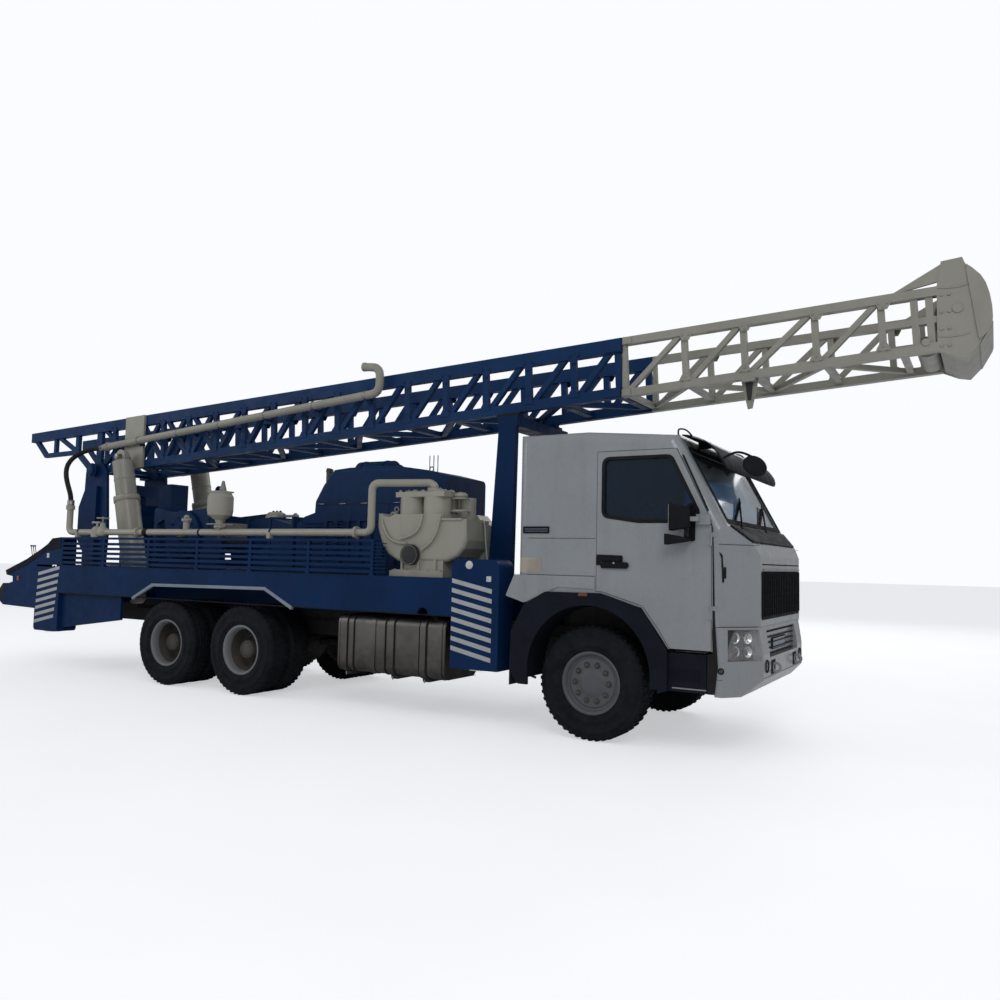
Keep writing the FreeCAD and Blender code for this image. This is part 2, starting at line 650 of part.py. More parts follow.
visor_x, visor_z = screen_top
visor = side_prism([screen_point(14, seat_gap), (visor_x + 230, visor_z - 55), (visor_x + 390, visor_z - 245),
                    (visor_x + 375, visor_z - 260), (visor_x + 220, visor_z - 80),
                    screen_point(44, seat_gap)], -(cab_half - 125), cab_half - 125)
mirror_arm_y = cab_half - 175
round_mirror = [bar((visor_x + 350, -mirror_arm_y, visor_z - 210),
                    (visor_x + 650, -mirror_arm_y - 70, visor_z - 245), 12),
                Part.makeCylinder(110, 40, V(visor_x + 680, -mirror_arm_y - 70, visor_z - 315),
                                  V(-1, 0, 0.1))]
save("sun_visor", fuse([visor] + round_mirror))

arch_r = tyre_r + 85
arch_z = cab_floor - 5 - arch_r
arch_low = 490.0
trim_y = half_width + 5


def arch_hole(radius, y0, y1):
    """Round-topped opening over the front wheel."""
    return fuse([across(0, arch_z, radius, y0, y1), box(-radius, radius, y0, y1, arch_low - 90, arch_z)])


trim_outline = [(-730.0, arch_low), (-830.0, 610.0), (-820.0, 1000.0), (-680.0, 1270.0), (-450.0, 1400.0),
                (130.0, 1405.0), (530.0, 1285.0), (670.0, 1090.0), (790.0, 915.0), (790.0, 560.0),
                (600.0, arch_low)]
fender_trim = side_prism(trim_outline, cab_half + seat_gap, trim_y)
trim_corners = [e for e in fender_trim.Edges if e.BoundBox.YLength > trim_y - cab_half - 1
                and e.BoundBox.ZMin > 900]
fender_trim = fender_trim.makeFillet(90, trim_corners).cut(arch_hole(arch_r, cab_half - 10, trim_y + 10))
fender_trim = fender_trim.cut(box(500, 700, cab_half, trim_y + 10, 0, 560))
liner = arch_hole(arch_r + 8, 870, cab_half + 1).cut(arch_hole(arch_r, 860, cab_half + 10))
liner = liner.common(box(-900, 900, 860, cab_half + 1, 560, cab_floor - seat_gap))
step_box = side_prism([(660.0, 560.0), (1140.0, 560.0), (1140.0, 900.0), (810.0, 900.0), (655.0, 830.0)],
                      850, cab_half + 1)
save("fenders", both_sides(fuse([fender_trim, liner, step_box])))

seat_w, seat_z = 520.0, 1750.0
seats = []
for s in (-1, 1):
    y0, y1 = sorted((s * 1080, s * (1080 - seat_w)))
    seats.append(fuse([box(-120, 380, y0, y1, seat_z - 140, seat_z),
                       side_prism([(-120, seat_z - 20), (20, seat_z - 20),
                                   (-60, seat_z + 670), (-180, seat_z + 650)], y0, y1),
                       box(0, 300, y0 + 80, y1 - 80, cab_floor + cab_wall, seat_z - 140)]))
bunk = box(cab_rear + cab_wall + 5, -200, -1100, 1100, 1640, 1780)
bunk_base = box(cab_rear + cab_wall + 5, -240, -1090, 1090, cab_floor + cab_wall, 1640)
save("seats", seats + [fuse([bunk, bunk_base])])

dash_front = cab_nose - cab_wall - seat_gap
dash_back = 1000.0
dash = side_prism([(dash_back, 1850.0), (1230.0, 2010.0), (1400.0, 1850.0), (dash_front, 1750.0),
                   (dash_front, cab_floor + cab_wall + 15), (1200.0, cab_floor + cab_wall + 15),
                   (dash_back, 1560.0)], -1130, 1130)
dash = dash.common(swept_plan(dash_back - 10, cab_nose, sweep_start, cab_wall + seat_gap))
column_foot, column_head = V(dash_back + 20, 800, 1700), V(dash_back - 220, 800, 1960)
column_way = column_head - column_foot
column = Part.makeCylinder(35, column_way.Length, column_foot, column_way)
column = column.cut(box(dash_back - seat_gap, dash_back + 100, 700, 900, 1600, 1800))
wheel_r = 215.0
rim_half = 15.0
steering_wheel = ring_solid([(wheel_r - rim_half, -rim_half), (wheel_r + rim_half, -rim_half),
                             (wheel_r + rim_half, rim_half), (wheel_r - rim_half, rim_half)], 20, 0, 0)
steering_wheel.Placement = FreeCAD.Placement(column_head, FreeCAD.Rotation(V(0, 1, 0), column_way))
spoke = across(column_head.x, column_head.z, 14, column_head.y - wheel_r, column_head.y + wheel_r)
save("dashboard", [dash, fuse([column, steering_wheel, spoke])])

# ---------------------------------------------------------------- deck
sub_outer, sub_inner = rail_outer - 2, rail_outer - rail_flange - 7
side_in = half_width - beam_wall
plate_low = beam_high - deck_plate
subframe = []
for s in (-1, 1):
    subframe.append(box(rail_rear, deck_front, *sorted((s * sub_outer, s * sub_inner)), rail_top, plate_low))
cross_beams = [box(x - 40, x + 40, -side_in, side_in, beam_high - 130, plate_low)
               for x in (-1700, -2900, -3900, -4900, -5900, -6750, -7050, -8100)]
plate = box(louvre_rear, deck_front, -side_in, side_in, plate_low, beam_high)
well = box(-7770, -7090, cyl_y - barrel_r - 15, cyl_y + barrel_r + 15, plate_low - 200, beam_high + 10)
foot_out = cyl_y + barrel_r + 15
foot_pin = across(cyl_foot_x, cyl_foot_z, foot_pin_r, sub_outer - 10, foot_out + 25)
foot_plate = side_prism([(cyl_foot_x - 90, cyl_foot_z - 80), (cyl_foot_x + 90, cyl_foot_z - 80),
                         (cyl_foot_x + 240, plate_low), (cyl_foot_x - 240, plate_low)],
                        foot_out, foot_out + 25)
deck = fuse(subframe + cross_beams + [plate])
for s in (-1, 1):
    deck = deck.cut(well if s > 0 else mirrored(well))
tail_beam = box(deck_rear, louvre_rear, -940, 940, beam_low + 90, beam_high)
deck = fuse([deck, tail_beam] + both_sides(fuse([foot_pin, foot_plate])))
save("deck_frame", deck)

arch = [(rear_axle - 680, beam_low), (rear_axle - 290, beam_low + 190), (mid_axle + 400, beam_low + 210),
        (mid_axle + 850, beam_low)]
side_beam = side_prism([(rear_jack[1], beam_low)] + arch + [(deck_front, beam_low), (deck_front, beam_high),
                        (rear_jack[1], beam_high)], side_in, half_width)
notch = across(-1900, beam_low, 70, side_in - 10, half_width + 10)
side_beam = side_beam.cut(notch)
skirt_front = rear_axle - 990
skirt = side_prism([(rear_jack[1], 610.0), (skirt_front, 780.0), (skirt_front, beam_low + 60),
                    (rear_jack[1], beam_low + 60)], side_in - 40, side_in)
wing_in = 1010.0
wing = side_prism([(deck_rear + 10, 860.0), (-9630.0, 880.0), (-9710.0, 930.0), (-9580.0, 1190.0),
                   (-9410.0, 1230.0), (-9420.0, 1310.0), (-9580.0, 1330.0), (-9600.0, 1390.0),
                   (-9070.0, 1570.0), (-8710.0, 1730.0), (louvre_rear, louvre_top),
                   (louvre_rear, beam_high), (deck_rear + 10, beam_high)], wing_in, half_width)
wing_pocket = side_prism([(deck_rear - 60, 920.0), (-9560.0, 940.0), (-9480.0, 1180.0), (-9330.0, 1200.0),
                          (-9330.0, 1400.0), (-9050.0, 1480.0), (deck_rear - 60, 1560.0)],
                         wing_in - 10, half_width - 40)
wing = wing.cut(wing_pocket)
buffer = side_prism([(-9580.0, 1190.0), (-9670.0, 1195.0), (-9800.0, 950.0), (-9710.0, 930.0)],
                    wing_in + 40, half_width - 20)
tail_bar = box(-9700, -9620, -wing_in, wing_in, 880, 1080)
save("deck_sides", both_sides(side_beam) + both_sides(skirt)
     + [fuse(both_sides(wing) + both_sides(buffer) + [tail_bar])])

louvre_y0 = half_width - louvre_wall
pitch = (louvre_top - beam_high) / slats
louvre = [box(louvre_rear, louvre_front, louvre_y0, half_width, louvre_top - 30, louvre_top)]
posts = 6
for i in range(posts + 1):
    x = louvre_rear + (louvre_front - louvre_rear - 40) * i / posts
    louvre.append(box(x, x + 40, louvre_y0, half_width, beam_high, louvre_top))
for i in range(slats - 1):
    low = beam_high + pitch * (i + 0.35)
    louvre.append(box(louvre_rear, louvre_front, louvre_y0 + 8, half_width - 2, low, low + pitch * 0.55))
save("louvres", both_sides(fuse(louvre)))

# ---------------------------------------------------------------- jacks
jack_y = half_width - jack_deep / 2
leg_gap = 0.3
housings = []
for place, (x0, x1, z0, z1) in (("front", front_jack), ("rear", rear_jack)):
    mid = (x0 + x1) / 2
    housing = box(x0, x1, half_width - jack_deep, half_width, z0, z1)
    if place == "front":
        top = [e for e in housing.Edges if e.BoundBox.ZMin > z1 - 1
               and abs(e.Vertexes[0].Point.x - e.Vertexes[1].Point.x) < 1]
        housing = housing.makeFillet(90, top)
        arm = box(x0, x1, rail_outer, half_width - jack_deep, rail_low + 20, rail_top - 20)
    else:
        corners = [e for e in housing.Edges if e.BoundBox.ZMax < z0 + 1
                   and abs(e.Vertexes[0].Point.x - e.Vertexes[1].Point.x) < 1]
        housing = housing.makeFillet(foot_round, corners)
        arm = box(x0 + 120, x1, 930, half_width - jack_deep, beam_low - 120, beam_low + 90)
    pad_top = z0 - pad_show + pad_t
    socket = upright(mid, jack_y, leg_r + leg_gap, z0 - 1, z1 - 60)
    recess = upright(mid, jack_y, pad_r + pad_room, z0 - 1, pad_top + pad_room)
    housings += both_sides(fuse([housing, arm]).cut(socket).cut(recess))
    leg = fuse([upright(mid, jack_y, leg_r, pad_top, z1 - 130),
                upright(mid, jack_y, pad_r, z0 - pad_show, pad_top)])
    save("jack_leg_" + place + "_left", leg)
    save("jack_leg_" + place + "_right", mirrored(leg))
save("jack_housings", housings)

# ---------------------------------------------------------------- deck machinery
hood_half = 430.0
pump_in, pump_out = -680.0, -1150.0
pump_foot_t = 60.0
pump_foot = box(-2430, -1720, pump_out, pump_in, beam_high, beam_high + pump_foot_t)
pump_neck = box(-2290, -1740, pump_out + 30, pump_in - 30, beam_high + pump_foot_t, 1690)
bowl = side_prism([(-2610.0, 2190.0), (-2610.0, 1960.0), (-2560.0, 1830.0), (-2470.0, 1730.0),
                   (-2340.0, 1665.0), (-1700.0, 1665.0), (-1560.0, 1720.0), (-1475.0, 1810.0),
                   (-1445.0, 1900.0), (-1445.0, 2120.0), (-1740.0, 2120.0), (-1750.0, 2180.0),
                   (-2400.0, 2180.0), (-2450.0, 2150.0), (-2540.0, 2160.0), (-2560.0, 2190.0)],
                  pump_out + 15, pump_in)
bowl = bowl.makeFillet(45, [e for e in bowl.Edges if e.BoundBox.YLength < 1
                            and e.BoundBox.ZMax < 2000 and abs(e.BoundBox.YMin - pump_out - 15) < 1])
pot_top, lid_t = 2370.0, 55.0
pots = []
for x, r, rows in ((-2245.0, 140.0, (0, 1)), (-1920.0, 160.0, (0, 1)), (-1665.0, 90.0, (1,))):
    for row in rows:
        y = pump_out + 15 + r + row * (pump_in - pump_out - 15 - 2 * r)
        pots.append(upright(x, y, r, 2110, pot_top))
lid = box(-2390, -1745, pump_out + 25, pump_in - 10, pot_top, pot_top + lid_t)
bolt_heads = [upright(x, y, 16, pot_top + lid_t, pot_top + lid_t + 22)
              for x in (-2350, -2140, -2040, -1790) for y in (pump_out + 60, pump_in - 50)]
lifting_eye = ring_solid([(18, pump_out + 112), (36, pump_out + 112), (36, pump_out + 128),
                          (18, pump_out + 128)], 10, -2490, 2180)
port_x, port_z, port_r = -2140.0, 1735.0, 105.0
port_bore, port_depth = 80.0, 60.0
port_face = pump_out - 45
port = across(port_x, port_z, port_r, port_face, pump_out + 60)
power_y0, power_y1 = pump_in, -(hood_half + 20)
power_end = side_prism([(-2380.0, beam_high), (-2380.0, 2040.0), (-2200.0, 2160.0), (-1600.0, 2190.0),
                        (-1500.0, 2080.0), (-1500.0, beam_high)], power_y0, power_y1)
pinion_cover = across(-1700, 1960, 190, power_y0 - 120, power_y0)
pump = fuse([pump_foot, pump_neck, bowl, lid, port, power_end, pinion_cover, lifting_eye] + pots + bolt_heads)
save("mud_pump", pump.cut(across(port_x, port_z, port_bore, port_face - 1, port_face + port_depth)))

pipe_r = 42.0
pipe_y = -1180.0
pipe_z = 1975.0
riser_x, riser_top = -8200.0, 2360.0
outlet_x, outlet_y = -1960.0, pump_out + 160
pipe_drop = pot_top + lid_t + seat_gap
cross_over = 2530.0
delivery = flat_pipe([(riser_x, pipe_y, riser_top), (riser_x, pipe_y, pipe_z), (-2680, pipe_y, pipe_z),
                      (-2680, pipe_y, cross_over), (outlet_x, outlet_y, cross_over),
                      (outlet_x, outlet_y, pipe_drop)], pipe_r, 75)
flange_t = 30.0
flanges = [Part.makeCylinder(pipe_r + 28, flange_t, V(x, pipe_y, pipe_z), V(1, 0, 0)) for x in (-6680, -2900)]
flanges.append(upright(outlet_x, outlet_y, pipe_r + 35, pipe_drop, pipe_drop + flange_t))
flanges.append(upright(riser_x, pipe_y, pipe_r + 18, riser_top - 60, riser_top))
vessel_x = -5105.0
vessel = lathe([(0, 2060), (38, 2060), (60, 2130), (150, 2190), (160, 2250), (160, 2420), (120, 2490),
                (0, 2500)], vessel_x, pipe_y, 0)
neck = upright(vessel_x, pipe_y, 38, pipe_z, 2080)
stub_x = -5720.0
stub = upright(stub_x, pipe_y, 40, pipe_z, 2150)
valve_x = -7560.0
valve = lathe([(0, 1905), (75, 1905), (85, 1950), (85, 2000), (45, 2050), (18, 2060), (18, 2120), (0, 2120)],
              valve_x, pipe_y, 0)
lever = box(valve_x - 110, valve_x + 60, pipe_y - 12, pipe_y + 12, 2100, 2125)
clamps = [box(x - 25, x + 25, pipe_y - 60, pipe_y, louvre_top + seat_gap, pipe_z)
          for x in (-7950, -4200)]
pipework = fuse([delivery, vessel, neck, stub, valve, lever] + flanges + clamps)
save("pipework", pipework)

hood = side_prism([(-4510.0, beam_high), (-4510.0, 2110.0), (-4380.0, 2210.0), (-4240.0, 2250.0),
                   (-4230.0, 2410.0), (-4100.0, 2620.0), (-3930.0, 2810.0), (-3690.0, 2830.0),
                   (-2980.0, 2830.0), (-2510.0, 2760.0), (-2170.0, 2680.0), (-2170.0, beam_high)],
                  -hood_half, hood_half)
hood = hood.makeFillet(60, [e for e in hood.Edges if e.BoundBox.YLength < 1 and e.BoundBox.ZMin > 2240])
cleaner_z = 2750.0
cleaner = Part.makeCylinder(165, 520, V(-3640, -200, cleaner_z), V(1, 0, 0))
cleaner_cap = Part.makeCylinder(110, 90, V(-3120, -200, cleaner_z), V(1, 0, 0))
vents = [box(x, x + 120, -hood_half - 10, -hood_half + 25, 1700, 2150) for x in range(-4000, -2500, 180)]
hood = hood.cut(Part.makeCompound(vents))
hood = fuse([hood, cleaner, cleaner_cap])
save("deck_engine", hood)

drum_x, drum_z, drum_r = -6420.0, 1960.0, 190.0
side_t = 60.0
winch_half = 620.0
draw_side = side_prism([(-7080, beam_high), (-7080, 2330), (-7020, 2350), (-6840, 2300), (-6620, 2280),
                        (-5990, 2330), (-5700, 2050), (-5650, beam_high)], winch_half - side_t, winch_half)
opening_side = side_prism([(-7010, 1620), (-7010, 2120), (-6860, 2180), (-6780, 1620)],
                          winch_half - side_t - 10, winch_half + 10)
draw_side = draw_side.cut(opening_side)
drum_end = winch_half - side_t
drum_flange = 300.0
drum = ring_solid([(0, -drum_end), (drum_flange, -drum_end), (drum_flange, 30 - drum_end),
                   (drum_r, 30 - drum_end), (drum_r, drum_end - 30), (drum_flange, drum_end - 30),
                   (drum_flange, drum_end), (0, drum_end)], 20, drum_x, drum_z)
band_cover = across(drum_x, drum_z, 340, winch_half, winch_half + 50)
gear_case = side_prism([(-5560, beam_high), (-5560, 2120), (-5400, 2210), (-5150, 2210), (-4800, 2130),
                        (-4700, 1950), (-4700, beam_high)], -280, 280)
drive_shaft = Part.makeCylinder(60, 190 - seat_gap, V(-4700, 0, 1800), V(1, 0, 0))
rotary_drive = side_prism([(-8150, beam_high), (-8150, 2180), (-8000, 2400), (-7720, 2380), (-7660, 2200),
                           (-7660, beam_high)], -380, 380)
mid_post = box(-7610, -7320, -150, 150, beam_high, 2740)
post_beam = side_prism([(-8390, 2610), (-8390, 2770), (-7600, 2680), (-7600, 2520)], -80, 80)
beam_leg = box(-8350, -8200, -80, 80, beam_high, 2640)
swivel_post = upright(-6980, 480, 62, beam_high, 2620)
swivel_head = fuse([across(-6980, 2680, 75, 430, 530), upright(-6980, 480, 48, 2600, 2680)])
save("deck_machinery", [fuse(both_sides(draw_side) + [drum, band_cover]),
                        fuse([gear_case, drive_shaft]),
                        fuse([rotary_drive, mid_post, post_beam, beam_leg]),
                        fuse([swivel_post, swivel_head])])

tower_in, tower_out = mast_half + 10, mast_half + 50
tower = side_prism([(-8820.0, beam_high), (-8270.0, beam_high), (-8240.0, 2030.0), (-8320.0, 2930.0),
                    (-8450.0, 3060.0), (-8700.0, 3060.0), (-8830.0, 2930.0), (-8840.0, 2650.0),
                    (-8970.0, 2390.0), (-8970.0, 1900.0), (-8820.0, 1700.0)], tower_in, tower_out)
tower_rib = side_prism([(-8560.0, beam_high), (-8460.0, beam_high), (-8460.0, 2700.0), (-8560.0, 2700.0)],
                       tower_out, tower_out + 60)
tower_pin = across(pivot_x, pivot_z, pivot_r, mast_half - chord_w, tower_out)
pin_cap = across(pivot_x, pivot_z, pivot_r + 30, tower_out, tower_out + 15)


def top_edge(x):
    return 3630.0 + (x - mast_tail) * 0.04


def low_edge(x):
    return 2905.0 + (x + 8600.0) * 0.0594


rest_x = -1270.0
rest_top = low_edge(rest_x)
post = side_prism([(rest_x - 200, beam_high), (rest_x + 90, beam_high), (rest_x + 110, rest_top - 170),
                   (rest_x - 100, rest_top - 170)], 560, 640)
saddle = box(rest_x - 110, rest_x + 130, -640, 640, rest_top - 170, rest_top - 60)
pad = side_prism([(rest_x - 80, rest_top - 60), (rest_x + 80, rest_top - 60),
                  (rest_x + 80, low_edge(rest_x + 80) - seat_gap),
                  (rest_x - 80, low_edge(rest_x - 80) - seat_gap)], mast_half - chord_w, mast_half)
save("mast_supports", both_sides(fuse([tower, tower_rib, tower_pin, pin_cap]))
     + [fuse(both_sides(post) + [saddle] + both_sides(pad))])

# ---------------------------------------------------------------- raising cylinders
cyl_way = V(cyl_eye_x - cyl_foot_x, 0, cyl_eye_z - cyl_foot_z)
cyl_rest = cyl_way.Length
lean = math.degrees(math.atan2(-cyl_way.x, cyl_way.z))


def along_cylinder(shape):
    """Stands a piece drawn upright from the foot pin along the cylinder's line."""
    shape = shape.copy()
    shape.rotate(V(0, 0, 0), V(0, 1, 0), -lean)
    shape.translate(V(cyl_foot_x, cyl_y, cyl_foot_z))
    return shape


bore_r = stage_r + seat_gap
barrel = upright(0, 0, barrel_r, 130, barrel_len).cut(upright(0, 0, bore_r, 190, barrel_len + 10))
foot = across(0, 0, 105, -60, 60)
foot = fuse([foot, box(-90, 90, -60, 60, 0, 150)])
barrel = fuse([barrel, foot]).cut(across(0, 0, foot_pin_r + running_fit, -80, 80))
stage = upright(0, 0, stage_r, 230, cyl_rest - 70)
eye_half = 40.0
eye = fuse([across(0, cyl_rest, 110, -eye_half, eye_half),
            box(-90, 90, -eye_half, eye_half, cyl_rest - 150, cyl_rest)])
stage = fuse([stage, eye]).cut(across(0, cyl_rest, pivot_r, -80, 80))
barrel_left, stage_left = along_cylinder(barrel), along_cylinder(stage)
save("raise_barrel_left", barrel_left)
save("raise_barrel_right", mirrored(barrel_left))
save("raise_rod_left", stage_left)
save("raise_rod_right", mirrored(stage_left))

# ---------------------------------------------------------------- mast
inner_face = mast_half - chord_w
web_y0 = mast_half - chord_w / 2 - web_w / 2
web_y1 = web_y0 + web_w
lean_back = 0.049


def chord(x0, x1, edge, depth, way):
    """Chord whose outer edge follows a line; way is -1 when the depth hangs below it."""
    return side_prism([(x0, edge(x0)), (x1, edge(x1)), (x1, edge(x1) + way * depth),
                       (x0, edge(x0) + way * depth)], inner_face, mast_half)


def web(x_low, x_high, depth):
    low = (x_low, low_edge(x_low) + 30)
    high = (x_high, top_edge(x_high) - 30)
    return side_bar(low, high, depth, web_y0, web_y1)


def web_down(x_high, x_low, depth):
    high = (x_high, top_edge(x_high) - 30)
    low = (x_low, low_edge(x_low) + 30)
    return side_bar(high, low, depth, web_y0, web_y1)


def panel(stations, post_depth, brace_depth):
    members = []
    for x in stations:
        members.append(web(x, x - lean_back * (top_edge(x) - low_edge(x)), post_depth))
    for x0, x1 in zip(stations, stations[1:]):
        members.append(web(x0, x1 - lean_back * (top_edge(x1) - low_edge(x1)), brace_depth))
    return members


bay = (colour_break - lower_start - 570) / blue_bays
blue_posts = [lower_start + 570 + bay * i for i in range(blue_bays)] + [colour_break - 35]
tail_low, tail_knee, tail_post = 3250.0, -10030.0, -9780.0
pivot_post = -8640.0
blue = [chord(mast_tail, colour_break, top_edge, blue_top_chord, -1),
        chord(lower_start, colour_break, low_edge, blue_low_chord, 1)]
blue += panel(blue_posts, 70, 60)


def tail_bar_between(start, end, depth):
    return side_bar(start, end, depth, web_y0, web_y1)


blue += [tail_bar_between((mast_tail + 30, top_edge(mast_tail) - 60), (tail_knee, tail_low), 70),
         tail_bar_between((tail_knee - 20, tail_low), (tail_step, tail_low + 20), 70),
         tail_bar_between((tail_post, tail_low), (tail_post, top_edge(tail_post) - 40), 60),
         tail_bar_between((tail_post, top_edge(tail_post) - 80), (tail_step - 20, tail_low + 30), 60),
         tail_bar_between((tail_step, tail_low - 10), (tail_step, top_edge(tail_step) - 40), 80),
         tail_bar_between((tail_step, tail_low + 10), (lower_start + 40, low_edge(lower_start) + 50), 80),
         tail_bar_between((pivot_post, low_edge(pivot_post) + 50),
                          (pivot_post, top_edge(pivot_post) - 60), 120)]
blue += [web_down(x0, x1, 60) for x0, x1 in ((pivot_post, blue_posts[1]), (blue_posts[1], blue_posts[2]),
                                             (blue_posts[2], blue_posts[3]), (blue_posts[3], blue_posts[4]))]
blue.append(web(pivot_post, blue_posts[1], 60))
blue_side = fuse(blue).common(box(mast_tail - 10, colour_break, 0, mast_half, 2500, 4500))
blue_side = blue_side.cut(across(pivot_x, pivot_z, pivot_r + running_fit, 0, mast_half + 50))
bracket_x0, bracket_x1 = -7950.0, -7530.0
bracket_out = mast_half + 36
bracket = side_prism([(bracket_x0, low_edge(bracket_x0)), (bracket_x1, low_edge(bracket_x1)),
                      (bracket_x1, top_edge(bracket_x1)), (bracket_x0, top_edge(bracket_x0))],
                     mast_half, bracket_out)
save("mast_lower_sides", both_sides(blue_side))

white_posts = [colour_break + 35, 700.0, 1290.0, 1950.0, 2520.0, 2790.0, head_x - 40]
white = [chord(colour_break, head_x, top_edge, white_chord, -1),
         chord(colour_break, head_x, low_edge, white_chord, 1)]
white += panel(white_posts[:5], 60, 50) + panel(white_posts[5:6], 60, 50) + panel(white_posts[6:], 60, 50)


def mid_height(x):
    return (top_edge(x) + low_edge(x)) / 2


white.append(side_bar((white_posts[4] - 30, mid_height(white_posts[4])), (head_x, mid_height(head_x)), 60,
                      web_y0, web_y1))
white_side = fuse(white).common(box(colour_break, head_x, 0, mast_half, 2500, 4500))
save("mast_upper_sides", both_sides(white_side))


def back_lattice(x0, x1, bays, depth, cross_depth):
    """Ladder with one brace a bay, lying between the two lower chords."""
    slope = math.atan(low_edge(1.0) - low_edge(0.0))
    length = (x1 - x0) / math.cos(slope)
    step = (length - cross_depth) / bays
    pieces = []
    for i in range(bays + 1):
        at = cross_depth / 2 + step * i
        pieces.append(plan_prism([(at - cross_depth / 2, -inner_face), (at + cross_depth / 2, -inner_face),
                                  (at + cross_depth / 2, inner_face), (at - cross_depth / 2, inner_face)],
                                 0, depth))
    for i in range(bays):
        a, b = cross_depth / 2 + step * i, cross_depth / 2 + step * (i + 1)
        s = 1 if i % 2 else -1
        ends = flat_corners((a, -s * inner_face), (b, s * inner_face), cross_depth * 0.8)
        brace = plan_prism(ends, 0, depth)
        pieces.append(brace.common(box(0, length, -inner_face, inner_face, -1, depth + 1)))
    lattice = fuse(pieces)
    lattice.translate(V(0, 0, 20))
    lattice.rotate(V(0, 0, 0), V(0, 1, 0), -math.degrees(slope))
    lattice.translate(V(x0, 0, low_edge(x0)))
    return lattice


save("mast_lower_back", back_lattice(lower_start + 400, colour_break - 10, 12, 60, 80))
roller_x, roller_z, roller_r = 2860.0, 3675.0, 95.0
save("mast_upper_back", back_lattice(colour_break + 10, roller_x - roller_r - 60, 4, 50, 60))

crown_side = side_prism([(head_x, top_edge(head_x)), (2985.0, 4380.0), (3150.0, 4395.0), (3180.0, 4310.0),
                         (3310.0, 4160.0), (crown_front, 3830.0), (3360.0, 3770.0), (3270.0, 3610.0),
                         (3180.0, 3510.0), (3080.0, 3530.0), (head_x, low_edge(head_x))],
                        mast_half - 40, mast_half)
guard = side_prism([(3180.0, 4310.0), (3310.0, 4160.0), (crown_front, 3830.0), (3360.0, 3770.0),
                    (3340.0, 3770.0), (3350.0, 3830.0), (3292.0, 4150.0), (3166.0, 4296.0)],
                   -(mast_half - 40), mast_half - 40)
cap = box(2985, 3150, -(mast_half - 40), mast_half - 40, 4340, 4378)
back_brace = side_prism([(2600.0, top_edge(2600.0) + seat_gap), (2660.0, top_edge(2660.0) + seat_gap),
                         (head_x, top_edge(head_x) + seat_gap + 40), (2999.0, 4250.0),
                         (2985.0, 4360.0)], mast_half - 40, mast_half - 10)
back_brace = back_brace.common(box(2500, head_x + 60, 0, mast_half, 3900, 4500))
lower_lip = side_prism([(head_x + 20, low_edge(head_x)), (3080.0, 3530.0), (3180.0, 3510.0), (3270.0, 3610.0),
                        (3270.0, 3650.0), (3180.0, 3550.0), (3080.0, 3570.0),
                        (head_x + 20, low_edge(head_x) + 40)],
                       -(mast_half - 40), mast_half - 40)
roller = across(roller_x, roller_z, roller_r, -330, 330)
hanger_out = inner_face - 5
roller_pin = across(roller_x, roller_z, 30, -hanger_out, hanger_out)
roller_hangers = [side_prism([(roller_x - 50, roller_z - 40), (roller_x - 50, roller_z + 45),
                              (roller_x + 40, roller_z + 65), (3060.0, 3640.0), (3060.0, 3560.0),
                              (roller_x + 40, roller_z - 50)],
                             *sorted((s * (hanger_out - 40), s * hanger_out))) for s in (-1, 1)]
sheave_x, sheave_z = 3110.0, 3950.0
axle_r = 50.0
axle = across(sheave_x, sheave_z, axle_r, -(mast_half - 40), mast_half - 40)
save("crown", fuse(both_sides(crown_side) + both_sides(back_brace) + roller_hangers
                   + [guard, cap, axle, lower_lip, roller, roller_pin]))
sheave_bore = axle_r + running_fit
sheave_profile = []
for y in (-225, -75, 75, 225):
    sheave_profile += [(90, y - 30), (200, y - 30), (180, y), (200, y + 30), (90, y + 30)]
sheave_sides = 20
sheaves = ring_solid([(0, -300), (90, -300)] + sheave_profile + [(90, 300), (0, 300)],
                     sheave_sides, sheave_x, sheave_z)
save("crown_sheaves", sheaves.cut(across(sheave_x, sheave_z, sheave_bore, -310, 310)))

stand_r = 50.0
stand_y = -(bracket_out + stand_r + 10)
stand_end = (-8340.0, stand_y, 3291.0)
goose_end = (-3330.0, stand_y, 4040.0)
goose_bore, goose_depth = 36.0, 70.0
standpipe = flat_pipe([stand_end, (-3090, stand_y, 3700), (-3090, stand_y, 4010), goose_end], stand_r, 110)
goose_way = V(240, 0, -30).normalize()
standpipe = standpipe.cut(Part.makeCylinder(goose_bore, goose_depth, V(*goose_end), goose_way))


def stand_z(x):
    return 3290.0 + (x + 8350.0) * 410.0 / 5260.0


clips = [box(-7770, -7710, stand_y, -bracket_out, stand_z(-7740) - 25, stand_z(-7740) + 25)]
for i in (4, 7, 9):
    x = blue_posts[i] - lean_back * (stand_z(blue_posts[i]) - low_edge(blue_posts[i]))
    clips.append(box(x - 30, x + 30, stand_y, -web_y1, stand_z(x) - 25, stand_z(x) + 25))
save("mast_fittings", [fuse([standpipe, mirrored(bracket)] + clips), bracket])

hose_r = 34.0
hose_route = [(riser_x, pipe_y, riser_top + seat_gap), (riser_x, pipe_y, 2490), (-8300, -1180, 2660),
              (-8440, -1130, 2820), (-8580, -1030, 2970), (-8680, -890, 3100), (-8700, -745, 3200),
              (-8620, -640, 3262), (-8480, stand_y, 3280), (stand_end[0] - seat_gap, stand_y, stand_end[2])]
save("mud_hose", flat_pipe(hose_route, hose_r, 140, 10, 11))
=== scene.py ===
import math

import bpy
import bmesh
from mathutils import Matrix, Vector

